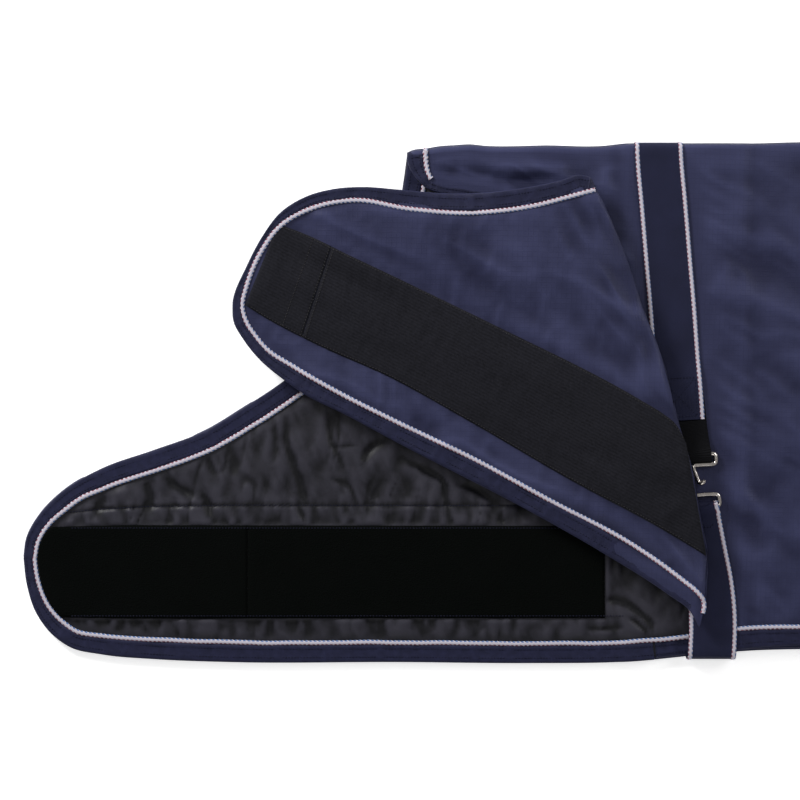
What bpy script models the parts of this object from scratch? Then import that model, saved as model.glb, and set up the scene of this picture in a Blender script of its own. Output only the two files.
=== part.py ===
"""Turnout rug, foal size, laid on its side and folded in half along the spine.

The chest points left (-X), the spine fold is at the top (+Y) and the hem at the bottom (-Y).
The far half lies underneath with its shell down; the near half lies on it with its shell up.
The near chest flap is turned back over the shoulder in a pleat; the far one lies open, lining up.
Every length here is in millimetres and becomes metres where a vertex is set.
"""

import math

import bmesh
import bpy
from mathutils import Vector

MM = 0.001
GAP = 0.3  # air between two touching pieces

# Cloth layers, binding tape and touch-and-close bands
SHELL = 0.8
FILL = 3.0
LINING = 0.5
TAPE = 0.6
TAPE_WIDTH = 19.0
TRIM_WIDTH = 4.4
BAND = 2.0

# Girth strap and its fastening
STRAP = 1.5
STRAP_WIDTH = 50.0
ELASTIC = 1.2
ELASTIC_WIDTH = 46.0
ELASTIC_TAIL = 40.0
WIRE = 4.0
HOOK_WIDTH = ELASTIC_WIDTH + 2 * WIRE + 5.0
HOOK_DEPTH = 10.9
HOOK_LEG = 19.0
HOOK_LEG_APART = 13.6
HOOK_CURL = 6.0
HOOK_RISE = 2.0
RING_WIDTH = STRAP_WIDTH + 2 * WIRE + 2.0
RING_DEPTH = 12.5
WIRE_CORNER = 0.75 * WIRE
HOOK_BAR = (-117.5, -54.6)
HOOK_TURN = 4.0
RING_BAR = (-113.0, -110.8)
RING_TURN = 8.0
STRAP_LAP = 22.0

# Plan of the rug
SPINE_Y = 264.0  # the shells turn down round the spine from here
REAR_X = 640.0
REAR_CORNER = 70.0
TAIL_LENGTH = 170.0
TAIL_DROP = 190.0
TAIL_CORNER = 60.0
FAR_FOLD_X = -703.0
SPLIT = GAP / 2

FAR_EDGE = [
    (-409.8, SPINE_Y), (-414.4, 221.0), (-422.0, 174.0), (-448.0, 117.0), (-490.0, 65.0),
    (-537.3, 23.4), (-581.0, -5.7), (-620.9, -29.6), (-673.9, -49.4), (-727.0, -68.1),
    (-766.7, -90.7), (-793.2, -117.0), (-806.5, -140.9), (-809.7, -162.3), (-806.5, -188.8),
    (-795.9, -220.7), (-780.0, -241.8), (-761.4, -255.2), (-727.0, -263.1), (-673.9, -267.8),
    (-594.3, -270.9), (-417.0, -270.9), (-284.3, -272.0), (-183.6, -270.6), (-68.6, -260.0),
]
FAR_HEM_Y = -260.0
NEAR_NECK = [
    (-409.8, SPINE_Y), (-406.6, 250.0), (-398.3, 233.5), (-389.0, 222.0), (-376.5, 216.8),
    (-351.5, 215.4), (-313.0, 216.8),
]
NEAR_HEM_Y = -257.9
PLEAT_TOP = (-313.0, 216.8)  # the near half turns back on itself from here
PLEAT_FOOT = (-75.0, NEAR_HEM_Y)  # to here
PLEAT_END_Y = -25.0  # the turned-back layer is loose below this
FLAP_EDGE = [
    (-220.5, 232.4), (-235.0, 234.7), (-246.2, 230.7), (-293.5, 220.5), (-336.3, 216.0),
    (-416.1, 220.4), (-455.9, 223.4), (-485.7, 221.3), (-513.8, 213.7), (-541.4, 196.5),
    (-559.5, 172.6), (-575.3, 142.8), (-590.8, 101.0), (-589.3, 83.1), (-579.3, 65.2),
    (-565.3, 47.3), (-537.5, 23.4), (-473.8, -12.5), (-417.0, -43.0), (-284.3, -111.8),
    (-204.9, -157.0), (-138.4, -199.5), (-117.5, -215.4),
]
FLAP_FOLD = [
    (-103.0, -207.5), (-100.0, -157.0), (-106.6, -109.3), (-114.6, -64.0), (-126.6, -27.0),
    (-146.6, 44.2), (-167.2, 99.8), (-185.3, 154.0), (-203.3, 197.1), (-218.4, 228.3),
]
FLAP_BAND_UPPER = [(-524.0, 172.0), (-465.9, 150.7), (-386.3, 112.8), (-178.3, 7.5), (-131.0, -21.7)]
FLAP_BAND_LOWER = [(-560.0, 94.0), (-505.6, 61.2), (-426.1, 25.5), (-231.3, -85.4), (-104.0, -155.0)]
FLAP_BAND_SEAM = ((-485.0, 159.0), (-517.0, 68.0))
FAR_BAND_END = [(-765.0, -131.0), (-779.0, -150.0), (-780.0, -185.0), (-770.0, -212.0), (-752.0, -226.0)]
FAR_BAND_SEAM_X = -575.7
FAR_BAND_REAR_X = -203.8
STRAP_SPINE_X = -148.8
STRAP_HEM_X = -93.6

# Heights above the floor. A bump lifts the whole rug over the strap that passes beneath it.
BUMP = STRAP + GAP
BUMP_FROM = STRAP_SPINE_X - STRAP_WIDTH / 2 - 4.2
BUMP_TO = STRAP_HEM_X + STRAP_WIDTH / 2 + 4.6
BUMP_RAMP = 16.0
REACH = GAP + TAPE
LAYERS = SHELL + GAP + FILL + GAP + LINING
FAR_Z = REACH
NEAR_Z = FAR_Z + LAYERS + REACH + GAP + REACH
NEAR_TOP = NEAR_Z + LAYERS
SPINE_Z = (FAR_Z + NEAR_TOP) / 2
SPINE_RADIUS = NEAR_TOP - SPINE_Z
ON_NEAR = NEAR_TOP + BUMP + GAP  # what lies on the near shell where the strap crosses
HOOK_Z = ON_NEAR + ELASTIC + GAP + WIRE / 2
RING_Z = ON_NEAR + STRAP + GAP + WIRE / 2
HOOK_TRAVEL = 5.0
FLAP_HIGH = HOOK_Z + WIRE / 2 + HOOK_RISE + HOOK_TRAVEL + GAP
FLAP_LOW = NEAR_TOP + REACH + GAP
FLAP_RAMP = 60.0
RETURN_LOW = NEAR_TOP + GAP
RETURN_HIGH = FLAP_HIGH - GAP - LAYERS - BUMP
RETURN_RAMP = 40.0

CLOTH = {
    "shell": (SHELL, "navy_ripstop"),
    "fill": (FILL, "polyfill"),
    "lining": (LINING, "black_lining"),
}
FINISHES = {
    "navy_ripstop": ((0.030, 0.035, 0.085), 0.75, 0.0),
    "black_lining": ((0.012, 0.012, 0.015), 0.45, 0.0),
    "polyfill": ((0.75, 0.75, 0.72), 0.95, 0.0),
    "navy_tape": ((0.020, 0.024, 0.065), 0.80, 0.0),
    "twisted_trim": ((0.60, 0.58, 0.66), 0.70, 0.0),
    "hook_tape": ((0.004, 0.005, 0.005), 0.95, 0.0),
    "loop_tape": ((0.010, 0.010, 0.012), 0.98, 0.0),
    "black_elastic": ((0.006, 0.006, 0.007), 0.85, 0.0),
    "plated_steel": ((0.65, 0.63, 0.60), 0.22, 1.0),
}


def finish(name):
    """The material of that name, made the first time it is asked for."""
    made = bpy.data.materials.get(name)
    if made:
        return made
    colour, roughness, metallic = FINISHES[name]
    made = bpy.data.materials.new(name)
    made.use_nodes = True
    shader = made.node_tree.nodes["Principled BSDF"]
    shader.inputs["Base Color"].default_value = (*colour, 1.0)
    shader.inputs["Roughness"].default_value = roughness
    shader.inputs["Metallic"].default_value = metallic
    return made


def add(name, data, material):
    obj = bpy.data.objects.new(name, data)
    RUG.objects.link(obj)
    data.materials.append(finish(material))
    return obj


def with_bmesh(obj, change):
    bm = bmesh.new()
    bm.from_mesh(obj.data)
    change(bm)
    bm.to_mesh(obj.data)
    bm.free()


def face_outward(bm):
    bmesh.ops.recalc_face_normals(bm, faces=bm.faces)
    if bm.calc_volume(signed=True) < 0:
        bmesh.ops.reverse_faces(bm, faces=bm.faces)


def weld(bm):
    bmesh.ops.remove_doubles(bm, verts=bm.verts, dist=0.01 * MM)
    face_outward(bm)


def as_mesh(obj):
    """Replaces a curve, or a mesh with modifiers, by its welded, evaluated mesh."""
    bpy.context.view_layer.update()
    graph = bpy.context.evaluated_depsgraph_get()
    mesh = bpy.data.meshes.new_from_object(obj.evaluated_get(graph))
    mesh.transform(obj.matrix_world)
    name, material = obj.name, obj.data.materials[0]
    bpy.data.objects.remove(obj)
    mesh.materials.clear()
    made = bpy.data.objects.new(name, mesh)
    RUG.objects.link(made)
    mesh.materials.append(material)
    with_bmesh(made, weld)
    return made


# ---- outlines: an edge runs with the rug on its left -------------------------------------------


def inward(edge, distance):
    """The edge moved to its left."""
    moved = []
    for i, point in enumerate(edge):
        before, after = edge[max(i - 1, 0)], edge[min(i + 1, len(edge) - 1)]
        along = (Vector(after) - Vector(before)).normalized()
        moved.append((point[0] - along.y * distance, point[1] + along.x * distance))
    return moved


def rear_edge(hem_y):
    """The rounded rear corner and the straight rear edge, from the hem to the spine."""
    centre = Vector((REAR_X - REAR_CORNER, hem_y + REAR_CORNER))
    angles = [math.radians(-90 + 15 * k) for k in range(7)]
    arc = [tuple(centre + REAR_CORNER * Vector((math.cos(a), math.sin(a)))) for a in angles]
    return arc + [(REAR_X, SPINE_Y)]


# ---- solids ------------------------------------------------------------------------------------


def plate(name, outline, z_low, thickness, material):
    """A flat sheet cut to an outline."""
    curve = bpy.data.curves.new(name, "CURVE")
    curve.dimensions = "2D"
    curve.fill_mode = "BOTH"
    curve.extrude = thickness / 2 * MM
    spline = curve.splines.new("POLY")
    spline.points.add(len(outline) - 1)
    for at, point in zip(spline.points, outline):
        at.co = (point[0] * MM, point[1] * MM, 0, 1)
    spline.use_cyclic_u = True
    obj = add(name, curve, material)
    obj.location.z = (z_low + thickness / 2) * MM
    return as_mesh(obj)


def band(name, rows, thickness, material):
    """A sheet through rows of points, one row along each long edge and each crease."""
    count = len(rows[0])
    bm = bmesh.new()
    bmesh.ops.create_grid(bm, x_segments=len(rows) - 1, y_segments=count - 1, size=1)
    bm.verts.ensure_lookup_table()
    for k in range(count):
        for j, row in enumerate(rows):
            bm.verts[k * len(rows) + j].co = Vector(row[k]) * MM
    mesh = bpy.data.meshes.new(name)
    bm.to_mesh(mesh)
    bm.free()
    obj = add(name, mesh, material)
    wall = obj.modifiers.new("thickness", "SOLIDIFY")
    wall.thickness = thickness * MM
    wall.offset = 0
    wall.use_even_offset = True
    return as_mesh(obj)


def binding(name, edge, z_low):
    """Tape folded round the edge of the layers that start at z_low."""
    low, high = z_low - GAP - TAPE / 2, z_low + LAYERS + GAP + TAPE / 2
    inner, outer = inward(edge, TAPE_WIDTH), inward(edge, TAPE / 2)
    rows = [[(*point, low) for point in inner], [(*point, low) for point in outer]]
    rows += [[(*point, high) for point in outer], [(*point, high) for point in inner]]
    return band(name, rows, TAPE, "navy_tape")


def trim(name, edge, z_low, skip=0):
    """The twisted cord beside the binding's inner edge, level with the tape, some points shorter."""
    lines = [inward(edge, TAPE_WIDTH + GAP + across) for across in (0, TRIM_WIDTH)]
    rows = [[(*point, z_low + TAPE / 2) for point in line[skip:len(line) - skip]] for line in lines]
    return band(name, rows, TAPE, "twisted_trim")


def wire(name, points, centre, turn, closed):
    """Round wire bent flat along points given beside a bar's centre, turned in plan by some degrees."""
    curve = bpy.data.curves.new(name, "CURVE")
    curve.dimensions = "3D"
    curve.bevel_depth = WIRE / 2 * MM
    curve.bevel_resolution = 2
    curve.use_fill_caps = not closed
    spline = curve.splines.new("POLY")
    spline.points.add(len(points) - 1)
    c, s = math.cos(math.radians(turn)), math.sin(math.radians(turn))
    for at, (u, v, w) in zip(spline.points, points):
        at.co = ((c * u - s * v) * MM, (s * u + c * v) * MM, w * MM, 1)
    spline.use_cyclic_u = closed
    obj = add(name, curve, "plated_steel")
    obj.location = Vector(centre) * MM
    return obj


def corner_arc(centre, start, end, steps=4):
    angles = [math.radians(start + (end - start) * k / steps) for k in range(steps + 1)]
    x, y = centre
    return [(x + WIRE_CORNER * math.cos(a), y + WIRE_CORNER * math.sin(a), 0) for a in angles]


# ---- shaping -----------------------------------------------------------------------------------


def slice_at(obj, point, normal):
    """Adds the edges where a plane crosses, and removes nothing."""
    with_bmesh(obj, lambda bm: bmesh.ops.bisect_plane(
        bm, geom=bm.verts[:] + bm.edges[:] + bm.faces[:], dist=1e-6,
        plane_co=Vector(point) * MM, plane_no=normal,
    ))


def lift(obj, height, creases):
    """Raises each vertex by a height that is straight between the creases, given as (point, normal)."""
    for point, normal in creases:
        slice_at(obj, point, normal)
    for vertex in obj.data.vertices:
        vertex.co.z += height(vertex.co.x / MM, vertex.co.y / MM) * MM
    return obj


def over_strap(obj):
    """Lifts the piece where the strap passes beneath the rug."""
    stops = (BUMP_FROM - BUMP_RAMP, BUMP_FROM, BUMP_TO, BUMP_TO + BUMP_RAMP)

    def height(x, y):
        share = min((x - stops[0]) / BUMP_RAMP, (stops[3] - x) / BUMP_RAMP)
        return BUMP * max(0.0, min(1.0, share))

    return lift(obj, height, [((x, 0, 0), (1, 0, 0)) for x in stops])


PLEAT_ALONG = (Vector(PLEAT_FOOT) - Vector(PLEAT_TOP)).normalized()
PLEAT_RIGHT = Vector((-PLEAT_ALONG.y, PLEAT_ALONG.x))


def beside_pleat(obj, low, high, low_at, high_at):
    """Raises the piece from low to high between two distances to the right of the pleat's fold."""

    def height(x, y):
        beyond = (Vector((x, y)) - Vector(PLEAT_TOP)).dot(PLEAT_RIGHT)
        share = (beyond - low_at) / (high_at - low_at)
        return low + (high - low) * max(0.0, min(1.0, share))

    feet = [Vector(PLEAT_TOP) + PLEAT_RIGHT * distance for distance in (low_at, high_at)]
    return lift(obj, height, [((*foot, 0), (*PLEAT_RIGHT, 0)) for foot in feet])


def round_spine(obj):
    """Bends what reaches past the spine line a quarter turn down, or up on the far half."""
    steps = 5
    for k in range(steps):
        slice_at(obj, (0, SPINE_Y + SPINE_RADIUS * k / steps, 0), (0, 1, 0))
    full = math.pi / 2 - SPLIT / SPINE_RADIUS
    for vertex in obj.data.vertices:
        past = vertex.co.y / MM - SPINE_Y
        if past > 1e-4:
            angle = full * past / SPINE_RADIUS
            radius = vertex.co.z / MM - SPINE_Z
            vertex.co.y = (SPINE_Y + abs(radius) * math.sin(angle)) * MM
            vertex.co.z = (SPINE_Z + radius * math.cos(angle)) * MM
    return obj


def keep_side(obj, x, side):
    """Cuts the piece at x and closes it, keeping what is beyond (side +1) or before (side -1)."""

    def change(bm):
        made = bmesh.ops.bisect_plane(
            bm, geom=bm.verts[:] + bm.edges[:] + bm.faces[:], dist=1e-6,
            plane_co=(x * MM, 0, 0), plane_no=(-side, 0, 0), clear_outer=True,
        )
        edges = [e for e in made["geom_cut"] if isinstance(e, bmesh.types.BMEdge)]
        bmesh.ops.triangle_fill(bm, edges=edges, use_beauty=True)
        face_outward(bm)

    with_bmesh(obj, change)
    return obj


def split_far(obj, end_name):
    """Cuts a piece of the far flap where its end folds over, and names the end."""
    end = bpy.data.objects.new(end_name, obj.data.copy())
    RUG.objects.link(end)
    keep_side(obj, FAR_FOLD_X + SPLIT, 1)
    keep_side(end, FAR_FOLD_X - SPLIT, -1)


# ---- the two halves ----------------------------------------------------------------------------


def closed_at(line, top):
    """The outline of a panel that runs up to the spine, or to another height."""
    outline = [(x, min(y, top)) for x, y in line]
    if top > line[0][1]:
        outline += [(line[-1][0], top), (line[0][0], top)]
    return outline


def spine_layers(prefix, inner, z_low, order):
    """The cloth layers of one half, from the floor up; only the shell turns round the spine."""
    z, made = z_low, []
    for kind in order:
        thickness, material = CLOTH[kind]
        top = SPINE_Y + SPINE_RADIUS if kind == "shell" else SPINE_Y - GAP
        made.append(plate(f"{prefix}_{kind}", closed_at(inner, top), z, thickness, material))
        if kind == "shell":
            round_spine(made[-1])
        z += thickness + GAP
    return made


def far_half():
    edge = FAR_EDGE + rear_edge(FAR_HEM_Y)
    far_top = FAR_Z + LAYERS + GAP
    panels = spine_layers("far", inward(edge, REACH), FAR_Z, ("shell", "fill", "lining"))
    high, low = FAR_BAND_END[0][1], FAR_BAND_END[-1][1]
    seam = FAR_BAND_SEAM_X
    front = FAR_BAND_END + [(seam - SPLIT, low), (seam - SPLIT, high)]
    rear = [(seam + SPLIT, low), (FAR_BAND_REAR_X, low), (FAR_BAND_REAR_X, high), (seam + SPLIT, high)]
    plate("far_hook_tape_rear", rear, far_top, BAND, "hook_tape")
    panels.append(plate("far_hook_tape_front", front, far_top, BAND, "hook_tape"))
    end_names = ["far_end_shell", "far_end_fill", "far_end_lining", "far_end_hook_tape"]
    for obj, end_name in zip(panels, end_names):
        split_far(obj, end_name)
        over_strap(obj)
    first = next(i for i, point in enumerate(FAR_EDGE) if point[0] < FAR_FOLD_X)
    last = max(i for i, point in enumerate(FAR_EDGE) if point[0] < FAR_FOLD_X)
    stretches = {
        "neck": (FAR_EDGE[:first + 2], FAR_FOLD_X + SPLIT, 1),
        "end": (FAR_EDGE[first - 2:last + 3], FAR_FOLD_X - SPLIT, -1),
        "hem": (FAR_EDGE[last - 1:] + rear_edge(FAR_HEM_Y), FAR_FOLD_X + SPLIT, 1),
    }
    for place, (stretch, x, side) in stretches.items():
        edging = (
            binding(f"far_{place}_binding", stretch, FAR_Z),
            trim(f"far_{place}_trim", stretch, far_top),
        )
        for piece in edging:
            over_strap(keep_side(piece, x, side))


def near_half():
    hem = [PLEAT_FOOT, (200.0, NEAR_HEM_Y)] + rear_edge(NEAR_HEM_Y)
    inner = inward(NEAR_NECK, REACH) + inward(hem, REACH)
    for panel in spine_layers("near", inner, NEAR_Z, ("lining", "fill", "shell")):
        over_strap(panel)
    for place, edge in (("neck", NEAR_NECK), ("hem", hem)):
        over_strap(binding(f"near_{place}_binding", edge, NEAR_Z))
        over_strap(trim(f"near_{place}_trim", edge, NEAR_TOP + GAP))
    fold = [p for p in FLAP_FOLD if p[1] > PLEAT_END_Y + 20]
    share = (PLEAT_TOP[1] - PLEAT_END_Y) / (PLEAT_TOP[1] - PLEAT_FOOT[1])
    foot = Vector(PLEAT_TOP).lerp(Vector(PLEAT_FOOT), share)
    start = Vector(PLEAT_TOP) + PLEAT_RIGHT * TAPE_WIDTH
    outline = [tuple(Vector(PLEAT_TOP).lerp(foot, 0.12)), tuple(foot), (-129.0, PLEAT_END_Y)]
    outline += [p for p in fold if p[1] < start.y - TAPE_WIDTH] + [(-212.0, 180.0), (-262.0, 184.0)]
    back = plate("near_pleat_return", outline, 0.0, LAYERS, "black_lining")
    over_strap(beside_pleat(back, RETURN_LOW, RETURN_HIGH, 4.0, RETURN_RAMP))


def near_flap():
    edge = FLAP_EDGE
    z, pieces = REACH, []
    inner = inward(edge, REACH)
    for kind in ("lining", "fill", "shell"):
        thickness, material = CLOTH[kind]
        pieces.append(plate(f"near_flap_{kind}", inner + FLAP_FOLD, z, thickness, material))
        z += thickness + GAP
    pieces.append(binding("near_flap_binding", edge, REACH))
    pieces.append(trim("near_flap_trim", edge, z, 1))
    seam_top, seam_foot = FLAP_BAND_SEAM
    shift = Vector((SPLIT, 0))
    left = [FLAP_BAND_UPPER[0], FLAP_BAND_LOWER[0]]
    left += [tuple(Vector(seam_foot) - shift), tuple(Vector(seam_top) - shift)]
    right = [tuple(Vector(seam_top) + shift), tuple(Vector(seam_foot) + shift)]
    right += FLAP_BAND_LOWER[1:] + FLAP_BAND_UPPER[:0:-1]
    pieces.append(plate("near_loop_tape_front", left, z, BAND, "loop_tape"))
    pieces.append(plate("near_loop_tape_rear", right, z, BAND, "loop_tape"))
    for obj in pieces:
        beside_pleat(obj, FLAP_LOW, FLAP_HIGH, -FLAP_RAMP, 0.0)


# ---- girth strap -------------------------------------------------------------------------------


def half_turn(x, y, z, radius, start, end, steps=6):
    """Points of an arc about (y, z) at one x; 0 degrees points along +Y and 90 up."""
    angles = [math.radians(start + (end - start) * k / steps) for k in range(steps + 1)]
    return [(x, y + radius * math.cos(a), z + radius * math.sin(a)) for a in angles]


def hem_under(x):
    """How far down the far hem reaches at x, along its lower stretch."""
    hem = [point for point in FAR_EDGE if point[1] < FAR_HEM_Y + GAP]
    a, b = next(pair for pair in zip(hem, hem[1:]) if pair[0][0] <= x <= pair[1][0])
    return a[1] + (b[1] - a[1]) * (x - a[0]) / (b[0] - a[0])


def strap_path():
    """Centre line, from the box stitch on the near side, over the spine, under and up round the hem."""
    flat, under = ON_NEAR + STRAP / 2, STRAP / 2
    over_elastic = flat + ELASTIC + GAP
    over_tape = flat + REACH
    middle, radius = (flat + under) / 2, (flat - under) / 2
    end = HOOK_BAR[1] + ELASTIC_TAIL - 4.0
    path = [(-126.4, end, over_elastic), (-129.6, end + 45, over_elastic), (-130.6, end + 60, flat)]
    path += [(-134.6, 91.0, flat)]
    path += half_turn(STRAP_SPINE_X, SPINE_Y, middle, radius, 90, -90)
    hem = hem_under(STRAP_HEM_X - STRAP_WIDTH / 2) - GAP - STRAP
    path += [(STRAP_HEM_X, hem + 1.2, under), (STRAP_HEM_X, hem, under + 1.2)]
    path += [(STRAP_HEM_X, hem, middle), (STRAP_HEM_X, hem + 3.4, over_tape - 1.6)]
    path += [(STRAP_HEM_X, hem + 6.6, over_tape), (STRAP_HEM_X, -236.0, over_tape)]
    path += [(-95.0, -226.0, flat), (-98.6, -188.8, flat), (-106.5, -146.4, flat)]
    path += half_turn(RING_BAR[0], RING_BAR[1], RING_Z, WIRE / 2 + GAP + STRAP / 2, -90, 90)
    path += [(-112.0, RING_BAR[1] - 12.0, flat + STRAP + GAP)]
    path += [(-110.5, RING_BAR[1] - STRAP_LAP, flat + STRAP + GAP)]
    return path


def ribbon(name, path, left, right, turns, thickness, material):
    """A flat band beside a path, between two distances across it; each point has its own turn in plan."""
    rows = []
    for across in (left, right):
        row = []
        for (x, y, z), turn in zip(path, turns):
            c, s = math.cos(math.radians(turn)), math.sin(math.radians(turn))
            row.append((x + across * c, y + across * s, z))
        rows.append(row)
    return band(name, rows, thickness, material)


def girth_strap():
    path = strap_path()
    turns = [RING_TURN if RING_BAR[1] - STRAP_LAP - 1 < y < -100 and z > ON_NEAR else 0 for x, y, z in path]
    edge = STRAP_WIDTH / 2
    inner = edge - TRIM_WIDTH
    ribbon("girth_strap", path, -inner + GAP, inner - GAP, turns, STRAP, "navy_tape")
    ribbon("girth_strap_trim_left", path, -edge, -inner, turns, STRAP, "twisted_trim")
    ribbon("girth_strap_trim_right", path, inner, edge, turns, STRAP, "twisted_trim")


def elastic_tab():
    x, y = HOOK_BAR
    flat = ON_NEAR + ELASTIC / 2
    path = [(x - 9.0, y + 76.0, flat), (x - 4.0, y + 30.0, flat)]
    path += half_turn(x, y, HOOK_Z, WIRE / 2 + GAP + ELASTIC / 2, -90, -270)
    lapped = flat + ELASTIC + GAP
    path += [(x - 1.0, y + 11.0, lapped), (x - 3.0, y + ELASTIC_TAIL - 9.0, lapped)]
    turns = [0, 0] + [HOOK_TURN] * 8 + [0]
    ribbon("elastic_tab", path, -ELASTIC_WIDTH / 2, ELASTIC_WIDTH / 2, turns, ELASTIC, "black_elastic")


def loop_corners(half, depth):
    """The four rounded corners of a wire loop whose top bar passes through the origin."""
    x, r = half - WIRE / 2 - WIRE_CORNER, WIRE_CORNER
    top, foot = -r, r - depth
    return [
        corner_arc((-x, foot), 270, 180), corner_arc((-x, top), 180, 90),
        corner_arc((x, top), 90, 0), corner_arc((x, foot), 0, -90),
    ]


def t_hook():
    """One wire: a loop in the elastic, then two legs side by side that curl apart at their ends."""
    leg, foot = HOOK_LEG_APART / 2, -HOOK_DEPTH
    tip = foot - HOOK_LEG
    left = [(-leg - HOOK_CURL, tip + 3.0, HOOK_RISE), (-leg - HOOK_CURL / 2, tip + 0.6, HOOK_RISE / 2)]
    left += [(-leg - 0.6, tip + 1.6, 0), (-leg, tip + 4.5, 0), (-leg, foot - 3.0, 0), (-leg - 3.0, foot, 0)]
    right = [(-u, v, w) for u, v, w in reversed(left)]
    loop = [point for arc in loop_corners(HOOK_WIDTH / 2, HOOK_DEPTH) for point in arc]
    wire("t_hook", left + loop + right, (*HOOK_BAR, HOOK_Z), HOOK_TURN, False)


def strap_ring():
    loop = [point for arc in loop_corners(RING_WIDTH / 2, RING_DEPTH) for point in arc]
    loop = [(u, v + RING_DEPTH, w) for u, v, w in loop]
    wire("strap_ring", loop, (*RING_BAR, RING_Z), RING_TURN, True)


# ---- tail flap ---------------------------------------------------------------------------------


def tail_flap():
    """A single cloth flap across the rear edge, folded at the spine like the rug."""
    x, foot = REAR_X + GAP, SPINE_Y - TAIL_DROP
    centre = Vector((x + TAIL_LENGTH - TAIL_CORNER, foot + TAIL_CORNER))
    angles = [math.radians(-90 + 15 * k) for k in range(7)]
    arc = [tuple(centre + TAIL_CORNER * Vector((math.cos(a), math.sin(a)))) for a in angles]
    edge = [(x, foot)] + arc + [(x + TAIL_LENGTH, SPINE_Y)]
    inner = inward(edge, REACH)
    top = SPINE_Y + SPINE_RADIUS
    for place, z in (("near", NEAR_TOP - SHELL), ("far", FAR_Z)):
        outline = inner + [(inner[-1][0], top), (x, top)]
        round_spine(plate(f"tail_flap_{place}", outline, z, SHELL, "navy_ripstop"))
        below = z - REACH + TAPE / 2
        above = z + SHELL + REACH - TAPE / 2
        rows = []
        for height, line in (
            (below, TAPE_WIDTH),
            (below, TAPE / 2),
            (above, TAPE / 2),
            (above, TAPE_WIDTH),
        ):
            rows.append([(*point, height) for point in inward(edge, line)])
        band(f"tail_flap_{place}_binding", rows, TAPE, "navy_tape")


for old in list(bpy.data.objects):
    bpy.data.objects.remove(old)
RUG = bpy.data.collections.new("turnout_rug")
bpy.context.scene.collection.children.link(RUG)
far_half()
near_half()
near_flap()
girth_strap()
elastic_tab()
t_hook()
strap_ring()
tail_flap()
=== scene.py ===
import math

import bpy
import numpy as np
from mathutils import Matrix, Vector


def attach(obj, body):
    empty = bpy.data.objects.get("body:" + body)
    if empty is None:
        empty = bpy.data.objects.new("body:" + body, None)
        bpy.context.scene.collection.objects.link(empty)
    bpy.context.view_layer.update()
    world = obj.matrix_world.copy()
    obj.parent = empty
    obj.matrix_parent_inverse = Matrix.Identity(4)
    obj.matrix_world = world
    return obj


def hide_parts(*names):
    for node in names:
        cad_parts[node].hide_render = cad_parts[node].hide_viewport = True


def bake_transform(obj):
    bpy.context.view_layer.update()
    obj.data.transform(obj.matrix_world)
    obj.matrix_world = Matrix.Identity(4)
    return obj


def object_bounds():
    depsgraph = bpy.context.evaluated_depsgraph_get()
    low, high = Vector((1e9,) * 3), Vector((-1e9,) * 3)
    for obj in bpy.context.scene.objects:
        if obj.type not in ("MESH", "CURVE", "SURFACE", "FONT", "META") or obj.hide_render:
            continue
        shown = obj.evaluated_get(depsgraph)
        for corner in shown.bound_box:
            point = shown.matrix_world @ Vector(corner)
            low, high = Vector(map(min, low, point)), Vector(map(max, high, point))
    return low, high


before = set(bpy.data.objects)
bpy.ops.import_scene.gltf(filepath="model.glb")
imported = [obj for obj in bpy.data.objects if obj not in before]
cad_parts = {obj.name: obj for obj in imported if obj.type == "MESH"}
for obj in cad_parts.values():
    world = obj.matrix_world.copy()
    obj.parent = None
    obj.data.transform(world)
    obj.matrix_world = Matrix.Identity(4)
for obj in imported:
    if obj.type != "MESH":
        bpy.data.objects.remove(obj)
cad_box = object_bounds()

# ---- Studio ------------------------------------------------------------------------------------
# The rug lies on a plain white sweep and is seen from straight above, as a catalogue picture is
# taken: one long-lens camera over the chest flaps, a strong soft light low at the head end, and
# weaker ones at the tail, beyond the hem and overhead.

MM = 0.001
low, high = np.array(cad_box[0]), np.array(cad_box[1])
view_centre = np.array([low[0] + 0.3927, 0.5 * (low[1] + high[1]) + 0.0025])

CAMERA_HEIGHT = 2.322
camera = bpy.data.cameras.new("camera")
camera.lens = 100
camera.sensor_width = 36
camera.clip_end = 80
camera_object = bpy.data.objects.new("camera", camera)
camera_object.location = (*view_centre, CAMERA_HEIGHT)
bpy.context.scene.collection.objects.link(camera_object)
bpy.context.scene.camera = camera_object
bpy.context.scene.view_settings.view_transform = "Standard"


def softbox(name, place, aim, size, watts):
    """A square area light at a place, turned to face a point."""
    light = bpy.data.lights.new(name, "AREA")
    light.shape = "SQUARE"
    light.size = size
    light.energy = watts
    made = bpy.data.objects.new(name, light)
    made.location = place
    away = Vector(place) - Vector(aim)
    made.rotation_euler = away.to_track_quat("Z", "Y").to_euler()
    bpy.context.scene.collection.objects.link(made)


def linear(colour):
    """An sRGB hex colour as linear RGBA."""
    srgb = np.array([int(colour[i:i + 2], 16) for i in (1, 3, 5)]) / 255
    values = np.where(srgb <= 0.04045, srgb / 12.92, ((srgb + 0.055) / 1.055) ** 2.4)
    return (*values, 1.0)


def node(tree, kind, settings=None, **inputs):
    """Adds a node and sets its inputs, by name or as i0, i1 by number; a socket is linked to its input."""
    made = tree.nodes.new(kind)
    for key, value in (settings or {}).items():
        setattr(made, key, value)
    for key, value in inputs.items():
        by_number = key[0] == "i" and key[1:].isdigit()
        socket = made.inputs[int(key[1:]) if by_number else key.replace("_", " ")]
        if isinstance(value, bpy.types.NodeSocket):
            tree.links.new(value, socket)
        else:
            socket.default_value = value
    return made


def material(name, **settings):
    """A Principled material: its tree and shader, with constant sockets set on the shader."""
    made = bpy.data.materials.new(name)
    made.use_nodes = True
    shader = made.node_tree.nodes["Principled BSDF"]
    for key, value in settings.items():
        shader.inputs[key.replace("_", " ")].default_value = value
    return made, made.node_tree, shader


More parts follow.
